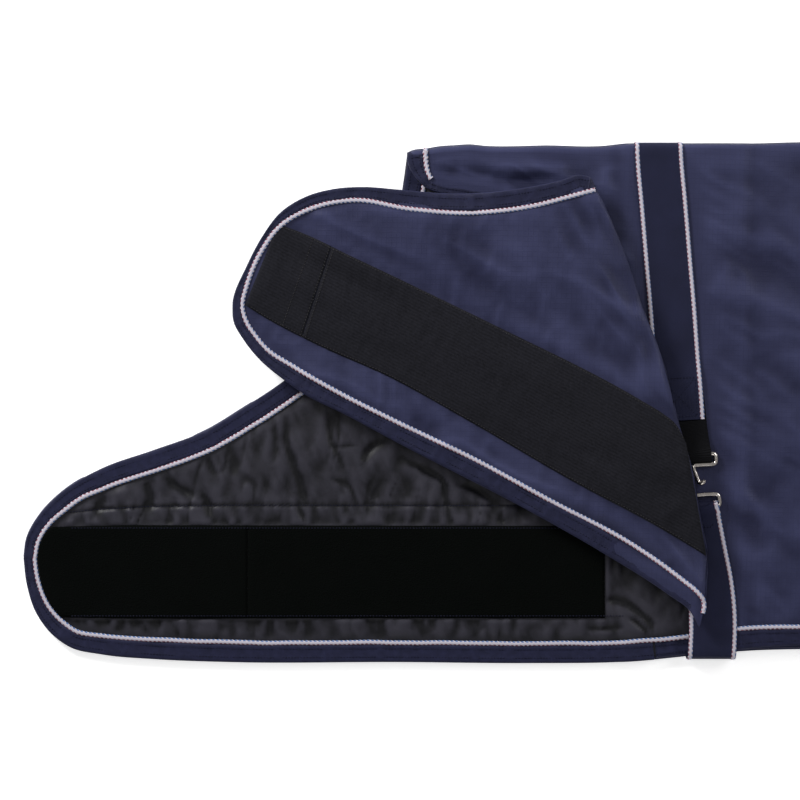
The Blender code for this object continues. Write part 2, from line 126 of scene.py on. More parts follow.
# White background paper, rolled out flat over a light table.
floor_finish, tree, shader = material("white_background_paper", Base_Color=linear("#fbfbfb"), Roughness=0.9,
                                      Emission_Color=(1, 1, 1, 1), Emission_Strength=0.55)
grain = node(tree, "ShaderNodeTexNoise", Scale=900.0, Detail=3.0)
bump = node(tree, "ShaderNodeBump", Strength=0.05, Distance=0.0002, Height=grain.outputs["Fac"])
tree.links.new(bump.outputs[0], shader.inputs["Normal"])
FLOOR_REACH, FLOOR_Z = 25, -0.0006  # its edges lie out of every view, and it clears the cloth above it
corners = ((-1, -1), (1, -1), (1, 1), (-1, 1))
paper = bpy.data.meshes.new("floor")
paper.from_pydata([(u * FLOOR_REACH, v * FLOOR_REACH, FLOOR_Z) for u, v in corners], [], [(0, 1, 2, 3)])
paper.materials.append(floor_finish)
floor = bpy.data.objects.new("floor", paper)
bpy.context.scene.collection.objects.link(floor)

softbox("head_light", (-2.0, 1.7, 1.05), (-0.4, 0.0, 0.0), 0.7, 58.0)
softbox("tail_light", (1.7, 1.2, 1.5), (-0.1, 0.0, 0.0), 1.2, 22.0)
softbox("top_light", (-0.75, 0.5, 3.3), (-0.4, 0.0, 0.0), 0.9, 7.0)
softbox("hem_light", (-0.5, -2.4, 1.9), (-0.4, 0.0, 0.0), 1.6, 9.0)
world = bpy.data.worlds.new("studio")
world.use_nodes = True
world.node_tree.nodes["Background"].inputs[0].default_value = (1, 1, 1, 1)
world.node_tree.nodes["Background"].inputs[1].default_value = 0.22
bpy.context.scene.world = world

# ---- Far half: shell ---------------------------------------------------------------------------
# The waterproof outer cloth of the far side, a navy polyester ripstop. It lies face down on the
# floor, rises over the girth strap that passes beneath it, and turns up round the spine.

CLOTH_GRID = 4.0  # spacing of a cloth's mesh
SHELL_THICK = 0.8
FAR_SHELL_Z = 1.7  # the shell's inner face
SPINE_Y, SPINE_Z, SPINE_R = 264.0, 6.85, 5.95  # the spine's fold: where it starts, its middle, its radius
BUMP, BUMP_FROM, BUMP_TO, BUMP_RAMP = 1.8, -178.0, -64.0, 16.0  # the rise over the strap beneath


def curve(points, step):
    """Cubic through the points, its slopes weighted by chord length, read at even steps of its length."""
    p = np.asarray(points, float)
    gap = np.linalg.norm(np.diff(p, axis=0), axis=1)[:, None]
    slope = np.diff(p, axis=0) / gap
    middle = (slope[:-1] * gap[1:] + slope[1:] * gap[:-1]) / (gap[1:] + gap[:-1])
    tangent = np.vstack([slope[:1], middle, slope[-1:]])
    t = np.linspace(0, 1, 24, endpoint=False)[:, None, None]
    fine = (2 * t**3 - 3 * t**2 + 1) * p[:-1] + (3 * t**2 - 2 * t**3) * p[1:]
    fine = fine + (t**3 - 2 * t**2 + t) * tangent[:-1] * gap + (t**3 - t**2) * tangent[1:] * gap
    fine = np.vstack([fine.transpose(1, 0, 2).reshape(-1, p.shape[1]), p[-1]])
    length = np.concatenate([[0], np.cumsum(np.linalg.norm(np.diff(fine, axis=0), axis=1))])
    at = np.linspace(0, length[-1], max(2, int(length[-1] / step) + 1))
    return np.column_stack([np.interp(at, length, fine[:, k]) for k in range(p.shape[1])])


def smoothstep(x, start, end):
    """0 before start, 1 after end, and 3t^2 - 2t^3 between."""
    t = np.clip((np.asarray(x, float) - start) / (end - start), 0, 1)
    return t * t * (3 - 2 * t)


def noise(x, y, size, seed):
    """Value noise from -1 to 1: a lattice of random numbers, blended with the smoothstep weight."""
    table = np.random.default_rng(seed).uniform(-1, 1, (128, 128))
    u, v = np.asarray(x, float) / size, np.asarray(y, float) / size
    i, j = np.floor(u).astype(int), np.floor(v).astype(int)
    s, t = smoothstep(u - i, 0, 1), smoothstep(v - j, 0, 1)
    a, b = table[i % 128, j % 128], table[(i + 1) % 128, j % 128]
    c, d = table[i % 128, (j + 1) % 128], table[(i + 1) % 128, (j + 1) % 128]
    return (a * (1 - s) + b * s) * (1 - t) + (c * (1 - s) + d * s) * t


def creases(x, y, size, stretch, degrees, seed):
    """Ridges of cloth, 1 on a crest and falling beside it: 1 - 2|n| of noise stretched one way."""
    a = math.radians(degrees)
    along, across = x * math.cos(a) + y * math.sin(a), y * math.cos(a) - x * math.sin(a)
    wander = noise(x, y, size * 3, seed + 50) * size * 0.5
    return 1 - 2 * np.abs(noise(along / stretch + wander, across + wander, size, seed))


def valley(x, y, route, width):
    """A sharp fold: 1 along a route, exp(-(d / width)^1.5) beside it, and fading out at its two ends."""
    line = curve(route, 1.5)
    flat = np.column_stack([np.ravel(x), np.ravel(y)])
    near = np.all((flat > line.min(axis=0) - 6 * width) & (flat < line.max(axis=0) + 6 * width), axis=1)
    fold = np.zeros(len(flat))
    off = np.linalg.norm(flat[near][:, None] - line[None], axis=2)
    share = np.clip(off.argmin(axis=1) / (len(line) - 1), 0.04, 0.96)
    fold[near] = np.exp(-((off.min(axis=1) / width) ** 1.5)) * np.sin(math.pi * share) ** 0.6
    return fold.reshape(np.shape(x))


SPINE_LINE = curve([
    (-409.8, -10.5), (-404.0, -7.6), (-391.0, -6.2), (-375.0, -3.5), (-360.0, -2.6), (-344.0, -1.6),
    (-329.0, -3.2), (-297.0, -3.6), (-266.0, -2.8), (-219.0, -3.8), (-190.0, -2.8), (-110.0, -0.8),
    (-40.0, -0.6), (-10.0, 0.3), (60.0, 0.6), (250.0, -1.2), (450.0, 0.2), (640.0, -1.0),
], 4.0)
STRAP_CROSSES, SPINE_HELD = -148.0, -0.8  # where the strap crosses the spine, and how far it is held there


def spine_wave(x):
    """How far the folded spine wanders from a straight line: held at the strap, round at the neck."""
    loose = smoothstep(np.abs(x - STRAP_CROSSES), 28, 60)
    return SPINE_HELD + loose * (np.interp(x, SPINE_LINE[:, 0], SPINE_LINE[:, 1]) - SPINE_HELD)


def follow_spine(x, y):
    """y moved with the spine: by all of its wander at the spine, and by less down to nothing below it."""
    return y + spine_wave(x) * smoothstep(y, 215, 262)


def distance(x, y, line):
    """Distance in plan from each point to the nearest sample of a line."""
    flat = np.column_stack([np.ravel(x), np.ravel(y)])
    best = np.full(len(flat), 1e9)
    for start in range(0, len(line), 64):
        off = flat[:, None, :] - line[None, start:start + 64, :2]
        best = np.minimum(best, np.sqrt((off**2).sum(axis=2)).min(axis=1))
    return best.reshape(np.shape(x))


def columns(lower, upper, xs, rows):
    """A grid between two outlines: column i stands at xs[i] and v runs evenly from lower to upper."""
    foot = np.interp(xs, *lower[np.argsort(lower[:, 0])].T)
    top = np.interp(xs, *upper[np.argsort(upper[:, 0])].T)
    v = np.linspace(0, 1, rows)
    return np.repeat(xs[:, None], rows, 1), foot[:, None] * (1 - v) + top[:, None] * v


def spaced(start, end, step, ease=0.0):
    """Even steps from start to end, closer over the first stretch where an outline is round."""
    body = np.linspace(start + ease, end, int((end - start - ease) / step) + 1)
    if not ease:
        return body
    t = np.linspace(0, 1, int(ease / step * 1.6))[:-1]
    return np.concatenate([start + ease * t**2, body])


def over_strap(x):
    """Height that the strap beneath lifts the rug, by x alone."""
    up = smoothstep(x, BUMP_FROM - BUMP_RAMP, BUMP_FROM)
    down = 1 - smoothstep(x, BUMP_TO, BUMP_TO + BUMP_RAMP)
    return BUMP * (up * down)


def add_mesh(name, points, faces, finish, uv=None, caps=()):
    """A smooth mesh of quads and caps over points in mm; uv, if given, is a pair in mm for each point."""
    mesh = bpy.data.meshes.new(name)
    mesh.from_pydata((points * MM).tolist(), [], [*faces.tolist(), *caps])
    mesh.materials.append(finish)
    if uv is not None:
        loops = np.empty(len(mesh.loops), int)
        mesh.loops.foreach_get("vertex_index", loops)
        mesh.uv_layers.new(name="UVMap").data.foreach_set("uv", (uv * MM)[loops].ravel())
    mesh.shade_smooth()
    made = bpy.data.objects.new(name, mesh)
    bpy.context.scene.collection.objects.link(made)
    return made


def grid_faces(n, m, ring=False):
    """Quads of an n by m grid; a ring joins the last column back to the first."""
    i, j = np.meshgrid(np.arange(n - 1), np.arange(m if ring else m - 1), indexing="ij")
    k = (j + 1) % m
    return np.stack([i * m + j, (i + 1) * m + j, (i + 1) * m + k, i * m + k], -1).reshape(-1, 4)


def painted_shade_relief(z):
    """Height over the cloth around it, -1 in a fold and 1 on a crest: z less its average, over 0.9 mm. The
    finish paints shade and highlight from it.
    """
    soft = z
    for k in (1, 2, 3, 4):
        far = np.pad(soft, k, "edge")
        soft = (far[2 * k:, k:-k] + far[:-2 * k, k:-k] + far[k:-k, 2 * k:] + far[k:-k, :-2 * k] + soft) / 5
    return np.clip((z - soft) / 0.9, -1, 1)


def cloth(name, x, y, z, thickness, finish, uv=None):
    """A sheet through the grid, given a wall below it; its height over its surroundings is kept for the
    finish to paint shade into folds and a highlight onto crests.
    """
    points = np.stack([x, y, z], -1).reshape(-1, 3)
    made = add_mesh(name, points, grid_faces(*x.shape), finish, uv)
    painted_fold_shade = made.data.attributes.new("painted_shade_relief", "FLOAT", "POINT")
    painted_fold_shade.data.foreach_set("value", painted_shade_relief(z).ravel())
    wall = made.modifiers.new("wall", "SOLIDIFY")
    wall.thickness = thickness * MM
    wall.offset = -1
    return made


def dye_with_painted_fold_shade(tree, grain, colour, pale, share):
    """Dye from dark to pale by a grain of 0 to 1, the cloth's uneven tone, plus painted light from its
    folds: painted shade in the folds, a painted highlight on the crests.
    """
    painted_fold_shade = node(tree, "ShaderNodeAttribute", {"attribute_name": "painted_shade_relief"})
    grain_plus_painted_shade = node(tree, "ShaderNodeMath", {"operation": "MULTIPLY_ADD"},
               i0=painted_fold_shade.outputs["Fac"], i1=share, i2=grain)
    grain_plus_painted_shade.use_clamp = True
    dye = node(tree, "ShaderNodeMix", {"data_type": "RGBA"},
               i0=grain_plus_painted_shade.outputs[0], i6=linear(colour), i7=linear(pale))
    return dye.outputs[2]


def ripstop(name, colour, pale):
    """Polyester ripstop: a tight plain weave with a heavier thread every 5 mm each way, faintly glossy."""
    made, tree, shader = material(name, Roughness=0.5, Sheen_Weight=0.05, Specular_IOR_Level=0.22)
    place = node(tree, "ShaderNodeTexCoord").outputs["Object"]
    turned = node(tree, "ShaderNodeMapping", Vector=place, Rotation=(0, 0, math.radians(2)))
    across = node(tree, "ShaderNodeSeparateXYZ", i0=turned.outputs[0])
    threads = []
    for side in ("X", "Y"):
        cell = node(tree, "ShaderNodeMath", {"operation": "PINGPONG"}, i0=across.outputs[side], i1=0.0026)
        near = node(tree, "ShaderNodeMapRange", Value=cell.outputs[0], i1=0.0, i2=0.0005, i3=1.0, i4=0.0)
        threads.append(near)
    line = node(tree, "ShaderNodeMath", {"operation": "MAXIMUM"},
                i0=threads[0].outputs[0], i1=threads[1].outputs[0])
    weave = node(tree, "ShaderNodeTexWave", {"bands_direction": "DIAGONAL"},
                 Vector=place, Scale=520.0, Distortion=0.6)
    wear = node(tree, "ShaderNodeTexNoise", Vector=place, Scale=14.0, Detail=5.0, Roughness=0.6)
    # Painted shade in the folds and a painted highlight on the crests, at 0.38 of the dye's range.
    dye = dye_with_painted_fold_shade(tree, wear.outputs["Fac"], colour, pale, 0.38)
    shade = node(tree, "ShaderNodeMath", {"operation": "MULTIPLY"}, i0=line.outputs[0], i1=0.16)
    drawn = node(tree, "ShaderNodeMix", {"data_type": "RGBA"},
                 i0=shade.outputs[0], i6=dye, i7=linear("#171930"))
    rise = node(tree, "ShaderNodeMath", {"operation": "MULTIPLY_ADD"},
                i0=weave.outputs["Fac"], i1=0.25, i2=line.outputs[0])
    bump = node(tree, "ShaderNodeBump", Strength=0.35, Distance=0.0003, Height=rise.outputs[0])
    gloss = node(tree, "ShaderNodeMapRange", Value=wear.outputs["Fac"], i1=0.3, i2=0.7, i3=0.46, i4=0.6)
    tree.links.new(drawn.outputs[2], shader.inputs["Base Color"])
    tree.links.new(gloss.outputs[0], shader.inputs["Roughness"])
    tree.links.new(bump.outputs[0], shader.inputs["Normal"])
    return made


# Dark navy in the folds and pale navy on the crests are painted shade and highlight; the grain varies the
# tone between them.
navy = ripstop("navy_polyester_ripstop", "#1f213d", "#3a3d5f")

FAR_NECK = [
    (-409.8, 264.0), (-414.4, 221.0), (-422.0, 174.0), (-448.0, 117.0), (-490.0, 65.0), (-537.3, 23.4),
    (-581.0, -5.7), (-620.9, -29.6), (-673.9, -49.4), (-727.0, -68.1), (-766.7, -90.7), (-793.2, -117.0),
    (-806.5, -140.9), (-809.7, -162.3),
]
FAR_HEM = [
    (-809.7, -162.3), (-806.5, -188.8), (-795.9, -220.7), (-780.0, -241.8), (-761.4, -255.2),
    (-727.0, -263.1), (-673.9, -267.8), (-594.3, -270.9), (-417.0, -270.9), (-284.3, -272.0),
    (-183.6, -270.6), (-68.6, -260.0), (200.0, -260.0), (570.0, -260.0),
]


def rear_corner(hem_y, radius=70.0, rear_x=640.0):
    """The round rear corner and the rear edge up to the spine."""
    turn = np.radians(np.linspace(-90, 0, 7))
    arc = np.column_stack([rear_x - radius + radius * np.cos(turn), hem_y + radius + radius * np.sin(turn)])
    return [tuple(p) for p in arc[1:]] + [(rear_x, SPINE_Y)]


far_neck, far_hem = curve(FAR_NECK[::-1], 2.0), curve(FAR_HEM, 2.0)
far_rear = curve([(570.0, -260.0)] + rear_corner(-260.0), 2.0)
far_lower = np.vstack([far_hem, far_rear[far_rear[:, 1] < -191]])
far_upper = np.vstack([far_neck, [(639.9, SPINE_Y)]])
far_edge = np.vstack([far_neck[::-1], far_hem[1:], far_rear[1:]])
far_xs = np.concatenate([spaced(-809.5, -60.0, CLOTH_GRID, 40.0), spaced(-50.0, 639.9, 12.0)])


def round_spine(rows):
    """Angles of a sheet's last rows, at even steps of a quarter turn that stops just short of the seam."""
    return np.linspace(0, 1, rows + 1)[1:] * (math.pi / 2 - 0.03)


def far_shell_surface(rows=110):
    """Up the drop of the rug, v to 0.94; then a quarter turn round the spine as far as its seam."""
    flat = int(rows * 0.94)
    x, y = columns(far_lower, far_upper, far_xs, flat)
    y = follow_spine(x, y)
    z = FAR_SHELL_Z + over_strap(x) + 0.25 * noise(x, y, 60, 3)
    turn = round_spine(rows - flat)
    reaches = (x[:, -1] > -409)[:, None]
    edge_y, edge_x = y[:, -1:], x[:, -1:]
    tx = np.repeat(edge_x, len(turn), 1)
    ty = np.where(reaches, edge_y + SPINE_R * np.sin(turn), edge_y - 0.01 * turn)
    tz = np.where(reaches, SPINE_Z + over_strap(tx) - (SPINE_R - SHELL_THICK) * np.cos(turn), z[:, -1:])
    return np.hstack([x, tx]), np.hstack([y, ty]), np.hstack([z, tz])


def across_fold(piece):
    """Bakes the piece's placement into its mesh."""
    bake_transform(piece)


far_shell = cloth("far_outer_shell", *far_shell_surface(), SHELL_THICK, navy)
across_fold(far_shell)
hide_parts("far_shell", "far_end_shell")

# ---- Far half: lining --------------------------------------------------------------------------
# Black nylon over a thin wadding. It is slack in its bindings, so it puckers along every seam and
# crumples between them; only under the hook tape is it held flat.

LINING_Z, LINING_THICK = 5.6, 0.5  # the lining's face along its seams
TAPE_LOW, TAPE_HIGH, TAPE_LEFT, TAPE_RIGHT = -224.6, -128.2, -795.5, -203.8  # the hook tape holds it here


def pull(d, reach):
    """How strongly a seam at distance d gathers the cloth: 1 at the seam, 0 past its reach."""
    return np.exp(-((d / reach) ** 2))


LINING_FOLDS = [
    ([(-547.9, -20.3), (-545.7, -57.6)], 3.0, 1.6),
    ([(-535.8, -16.0), (-534.8, -42.2), (-521.7, -81.7), (-514.0, -106.0)], 3.4, 2.4),
    ([(-493.2, -11.6), (-486.6, -44.4), (-475.6, -66.3)], 2.2, 1.8),
    ([(-486.6, -46.3), (-461.5, -44.9)], 1.6, 1.2),
    ([(-431.9, -38.0), (-451.6, -53.2), (-456.0, -64.0)], 5.0, 3.0),
    ([(-414.4, -58.7), (-390.3, -70.7), (-372.8, -81.7), (-368.5, -103.6), (-365.0, -125.0)], 3.4, 3.2),
    ([(-487.6, -79.5), (-471.3, -86.0), (-462.6, -105.7)], 2.6, 2.0),
    ([(-355.3, -86.0), (-338.0, -90.4), (-320.3, -103.5)], 3.2, 2.4),
    ([(-521.7, -110.0), (-515.0, -126.0)], 2.2, 1.8),
    ([(-681.6, -80.6), (-676.5, -102.4), (-675.0, -115.6)], 3.6, 2.4),
    ([(-659.0, -80.6), (-643.0, -92.0), (-634.4, -96.6)], 4.0, 2.2),
    ([(-624.0, -93.7), (-618.2, -104.0), (-616.7, -122.9)], 3.2, 2.2),
    ([(-683.8, -230.9), (-680.9, -247.0)], 2.4, 1.6),
    ([(-650.3, -236.2), (-647.3, -248.5)], 2.6, 1.6),
    ([(-202.8, -205.0), (-184.6, -207.8), (-167.9, -218.9), (-156.7, -230.0), (-152.6, -244.0)], 4.0, 3.4),
    ([(-179.0, -223.0), (-163.7, -235.6), (-159.5, -242.6)], 3.2, 2.6),
    ([(-219.4, -235.6), (-201.3, -235.6), (-187.4, -234.3)], 3.2, 2.2),
]


def quilt_line(x):
    """The lining's own seam above the hook tape."""
    return np.interp(x, (-777, -730, -681, -583, -287), (-115.6, -111.3, -108.4, -106.9, -107.6))


def far_lining_height(x, y):
    """Low swell, long sharp folds, slack between them, and puckers that run out from every seam."""
    swell = 0.8 * noise(x, y, 90, 11)
    rim = distance(x, y, far_edge[::2])
    clear = smoothstep(rim, 21, 33)
    from_tape = np.max([TAPE_LOW - y, y - TAPE_HIGH, TAPE_LEFT - x, x - TAPE_RIGHT], axis=0)
    free = smoothstep(from_tape, -1, 4)
    lean = noise((y + 0.25 * x) / 7.0, x - 0.14 * y + 6 * noise(x, y, 34, 20), 13, 21)
    lines = np.exp(-((lean / 0.13) ** 2)) * smoothstep(noise(x, y, 30, 24), -0.2, 0.6)
    slack = 2.2 * noise(x, y / 1.8, 26, 22) + 0.9 * noise(x - 0.3 * y, y / 2.2, 10, 23) - 1.5 * lines
    slack = slack + 0.5 * noise(x + 0.4 * y, y / 3, 4.5, 28)
    fold = sum(-1.5 * deep * valley(x, y, route, width) for route, width, deep in LINING_FOLDS)
    edge_pucker = 1.5 * noise(x, y / 5, 6.5, 25) * pull(np.maximum(from_tape, 0), 15)
    rim_pucker = 1.2 * noise(x, y / 4, 7.5, 29) * pull(np.maximum(rim - 20, 0), 14)
    quilt = np.abs(y - quilt_line(x))
    beside = 1.4 * noise(x, y / 4, 5.5, 27) * pull(quilt, 11) * (1 - 0.7 * pull(quilt, 2.0))
    loose = slack + fold + edge_pucker + rim_pucker + (beside - 1.6 * pull(quilt, 1.8))
    return LINING_Z + over_strap(x) + clear * (1.7 + swell + free * loose)


LINING_ROWS, BELOW_WAIST = 140, 0.8  # this share of the rows lies below the waist, where the cloth shows
lining_xs = np.concatenate([spaced(-806.0, -90.0, 2.45, 40.0), spaced(-80.0, 639.0, 18.0)])
x, y = columns(far_lower + (0, 4.0), far_upper - (0, 4.0), lining_xs, LINING_ROWS)
foot, top = y[:, :1], y[:, -1:]
waist = np.minimum(-20.0, 0.15 * foot + 0.85 * top)
t = np.linspace(0, 1, LINING_ROWS)
below = foot + (waist - foot) * t / BELOW_WAIST
above = waist + (top - waist) * (t - BELOW_WAIST) / (1 - BELOW_WAIST)
y = np.where(t < BELOW_WAIST, below, above)
covered = smoothstep(x, -130, -60)  # beneath the near half it lies smooth
z = far_lining_height(x, y) * (1 - covered) + (LINING_Z + over_strap(x)) * covered


def nylon(name, colour, pale, scale):
    """Calendered nylon lining: almost smooth, with a fine weave, a low sheen, painted shade in its folds and
    a painted highlight on their crests.
    """
    made, tree, shader = material(name, Specular_IOR_Level=0.2)
    place = node(tree, "ShaderNodeTexCoord").outputs["Object"]
    weave = node(tree, "ShaderNodeTexChecker", Vector=place, Scale=scale)
    soft = node(tree, "ShaderNodeTexNoise",
                Vector=place, Scale=70.0, Detail=6.0, Roughness=0.65, Distortion=0.8)
    # Painted shade in the folds and a painted highlight on the crests, at 0.55 of the dye's range.
    dye = dye_with_painted_fold_shade(tree, soft.outputs["Fac"], colour, pale, 0.55)
    fine = node(tree, "ShaderNodeBump", Strength=0.12, Distance=0.0001, Height=weave.outputs["Fac"])
    rise = node(tree, "ShaderNodeBump",
                Strength=0.22, Distance=0.001, Height=soft.outputs["Fac"], Normal=fine.outputs[0])
    gloss = node(tree, "ShaderNodeMapRange", Value=soft.outputs["Fac"], i1=0.3, i2=0.7, i3=0.42, i4=0.52)
    tree.links.new(dye, shader.inputs["Base Color"])
    tree.links.new(gloss.outputs[0], shader.inputs["Roughness"])
    tree.links.new(rise.outputs[0], shader.inputs["Normal"])
    return made


# Near black in the folds and dark grey on the crests are painted shade and highlight; the grain varies the
# tone between them.
black_nylon = nylon("black_nylon_lining", "#141418", "#34333c", 900.0)
far_lining = cloth("far_quilted_lining", x, y, z, LINING_THICK, black_nylon)
across_fold(far_lining)
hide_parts("far_lining", "far_end_lining", "far_fill", "far_end_fill")

# ---- Binding tape ------------------------------------------------------------------------------
# 20 mm navy polyester tape, folded round every cut edge and sewn with two rows of stitches. It is
# narrower where it was eased round a tight curve.


def normals(path):
    """Unit vectors in plan to the left of the path."""
    ahead = np.gradient(path[:, :2], axis=0)
    ahead = ahead / np.linalg.norm(ahead, axis=1)[:, None]
    return np.column_stack([-ahead[:, 1], ahead[:, 0]])


def lengths(path):
    """Length along the path up to each of its points."""
    return np.concatenate([[0], np.cumsum(np.linalg.norm(np.diff(path, axis=0), axis=1))])


def carried(path, profile_across, profile_up, across_scale):
    """Carries a closed profile, in (left of the path, up), along a path; returns the grid and its (u, v)."""
    n = normals(path)
    scale = np.broadcast_to(across_scale, len(path))
    across = np.asarray(profile_across, float)[None, :] * scale[:, None]
    up = np.broadcast_to(profile_up, across.shape)
    grid = np.empty((*across.shape, 3))
    grid[..., :2] = path[:, None, :2] + n[:, None, :] * across[..., None]
    grid[..., 2] = path[:, None, 2] + up
    round_it = np.concatenate([[0], np.cumsum(np.hypot(np.diff(profile_across), np.diff(profile_up)))])
    uv = np.stack(np.broadcast_arrays(lengths(path)[:, None], round_it[None, :]), -1)
    return grid, uv


def closed_band(name, grid, uv, finish):
    """A solid from a carried closed profile, with both ends filled."""
    n, m = grid.shape[:2]
    faces = grid_faces(n, m, ring=True)[:, ::-1]
    caps = [list(range(m)), list(range((n - 1) * m, n * m))[::-1]]
    return add_mesh(name, grid.reshape(-1, 3), faces, finish, uv.reshape(-1, 2), caps)


def binding(name, edge, z_mid, half, width):
    """Tape round an edge: a U with a round bend at the edge and walls that reach width inwards."""
    bend = np.radians(np.linspace(90, 270, 7))
    reach = np.linspace(1.0, 0.14, 6)
    top_in = np.concatenate([reach, 0.07 + 0.07 * np.cos(bend)])
    top_up = np.concatenate([1.0 - 0.18 * (1 - (2 * reach - 1.1) ** 2) + 0.18, np.sin(bend)])
    outer_in = np.concatenate([top_in, reach[::-1], reach, 0.075 + 0.05 * np.cos(bend[::-1]), reach[::-1]])
    level = np.ones(6)
    outer_up = np.concatenate([top_up, -level, -0.86 * level, 0.84 * np.sin(bend[::-1]), 0.86 * level])
    s = lengths(edge)
    path = np.column_stack([edge[:, :2], z_mid])
    grid, uv = carried(path, outer_in, outer_up * half, width)
    ripple = 0.35 * noise(s, 0 * s, 9, 31) + 0.25 * noise(s, 0 * s, 4, 32)
    grid[:, :6, 2] += ripple[:, None]
    return closed_band(name, grid, uv, navy_tape)


def ribbed_tape(name, colour, pale, rib):
    """Woven polyester tape: matt, with ribs 1.2 mm apart across its length."""
    made, tree, shader = material(name, Roughness=0.62, Sheen_Weight=0.05, Specular_IOR_Level=0.18)
    along = node(tree, "ShaderNodeUVMap")
    parts = node(tree, "ShaderNodeSeparateXYZ", i0=along.outputs[0])
    ribs = node(tree, "ShaderNodeMath", {"operation": "PINGPONG"}, i0=parts.outputs["X"], i1=rib)
    rise = node(tree, "ShaderNodeMath", {"operation": "DIVIDE"}, i0=ribs.outputs[0], i1=rib)
    place = node(tree, "ShaderNodeTexCoord").outputs["Object"]
    soft = node(tree, "ShaderNodeTexNoise", Vector=place, Scale=160.0, Detail=4.0)
    dye = node(tree, "ShaderNodeMix", {"data_type": "RGBA"},
               i0=soft.outputs["Fac"], i6=linear(colour), i7=linear(pale))
    bump = node(tree, "ShaderNodeBump", Strength=0.4, Distance=0.0003, Height=rise.outputs[0])
    tree.links.new(dye.outputs[2], shader.inputs["Base Color"])
    tree.links.new(bump.outputs[0], shader.inputs["Normal"])
    return made


navy_tape = ribbed_tape("navy_polyester_binding_tape", "#121429", "#292b4a", 0.0006)

far_edge[:, 1] = follow_spine(*far_edge.T)
far_s = lengths(far_edge)
tip_s = far_s[np.argmin(far_edge[:, 0])]
TAPE_WIDTH = 19.0  # how far it reaches in from the edge, less at the round end of the far flap
far_width = TAPE_WIDTH - 8.5 * np.exp(-(((far_s - tip_s) / 95.0) ** 2))
TAPE_HALF, FAR_TAPE_Z = 3.35, 3.35  # half the bound edge's thickness, and the height of its middle
SEWN_RISE = 3.5  # the stitches lie this far above the middle
far_mid = FAR_TAPE_Z + over_strap(far_edge[:, 0])
TAPE_END = -150.8  # the length round the chest ends here, over the start of the next
first = (far_edge[:, 0] < TAPE_END) | (far_edge[:, 1] > 0) & (far_edge[:, 0] < 500)
far_binding = binding("far_binding", far_edge[first], far_mid[first], TAPE_HALF, far_width[first])
tucked = np.where(far_edge[:, 1] < -200, 1.8, 0.0)
next_edge = np.column_stack([far_edge[:, 0], far_edge[:, 1] + tucked])[~first]
next_mid, next_width = far_mid[~first] - 0.2, far_width[~first] - 2.0
far_binding_rear = binding("far_binding_rear", next_edge, next_mid, 2.9, next_width)
across_fold(far_binding)
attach(far_binding_rear, "rug")
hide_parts("far_neck_binding", "far_end_binding", "far_hem_binding")

# ---- Twisted trim ------------------------------------------------------------------------------
# A pale two-ply cord sewn along the binding's inner edge. Its plies are lilac white, with a red tick
# on one side and a blue tick on the other at every twist.

CORD_WIDTH, CORD_PITCH = 4.8, 4.6


def two_ply(s):
    """The cord's section at lengths s: an ellipse whose two plies swell in turn, by sin(2 angle - twist)."""
    turn = np.radians(np.arange(0, 360, 36))
    swell = 1 + 0.16 * np.sin(2 * turn[None, :] - 2 * math.pi * s[:, None] / CORD_PITCH)
    flat = CORD_WIDTH / 2 * np.cos(turn)
    return flat * swell, np.sin(turn) * swell, flat


def trim(name, path, z):
    """The cord along a line in plan: its section stands square to the line, at a height for each point."""
    across, up, flat = two_ply(lengths(path))
    grid = np.empty((*across.shape, 3))
    grid[..., :2] = path[:, None] + normals(path)[:, None] * across[..., None]
    grid[..., 2] = z[:, None] + 1.15 * up
    run = lengths(np.column_stack([path, z]))
    uv = np.stack(np.broadcast_arrays(run[:, None], flat[None]), -1)
    return closed_band(name, grid, uv, pale_cord)


def twisted_cord(name):
    """Polypropylene cord: pale plies, with red ticks left of the middle and blue ticks right of it."""
    made, tree, shader = material(name, Roughness=0.6, Specular_IOR_Level=0.25)
    along = node(tree, "ShaderNodeUVMap")
    parts = node(tree, "ShaderNodeSeparateXYZ", i0=along.outputs[0])
    slant = node(tree, "ShaderNodeMath", {"operation": "MULTIPLY_ADD"},
                 i0=parts.outputs["Y"], i1=0.9, i2=parts.outputs["X"])
    beat = node(tree, "ShaderNodeMath", {"operation": "PINGPONG"}, i0=slant.outputs[0], i1=0.0023)
    tick = node(tree, "ShaderNodeMath", {"operation": "LESS_THAN"}, i0=beat.outputs[0], i1=0.0013)
    colour = linear("#c9c4d0")
    for start, end, ink in ((-0.0026, -0.0012, "#8f5a66"), (0.0012, 0.0026, "#5c76a6")):
        past = node(tree, "ShaderNodeMath", {"operation": "GREATER_THAN"}, i0=parts.outputs["Y"], i1=start)
        short = node(tree, "ShaderNodeMath", {"operation": "LESS_THAN"}, i0=parts.outputs["Y"], i1=end)
        both = node(tree, "ShaderNodeMath", {"operation": "MULTIPLY"},
                    i0=past.outputs[0], i1=short.outputs[0])
        here = node(tree, "ShaderNodeMath", {"operation": "MULTIPLY"},
                    i0=both.outputs[0], i1=tick.outputs[0])
        mix = node(tree, "ShaderNodeMix", {"data_type": "RGBA"},
                   i0=here.outputs[0], i6=colour, i7=linear(ink))
        colour = mix.outputs[2]
    groove = node(tree, "ShaderNodeMath", {"operation": "PINGPONG"}, i0=slant.outputs[0], i1=0.0013)
    bump = node(tree, "ShaderNodeBump", Strength=0.6, Distance=0.0006, Height=groove.outputs[0])
    tree.links.new(colour, shader.inputs["Base Color"])
    tree.links.new(bump.outputs[0], shader.inputs["Normal"])
    return made


pale_cord = twisted_cord("pale_polypropylene_cord")


def inside(edge, offset):
    """The edge moved inwards by an offset for each of its points."""
    return edge[:, :2] + normals(edge) * np.reshape(offset, (-1, 1))


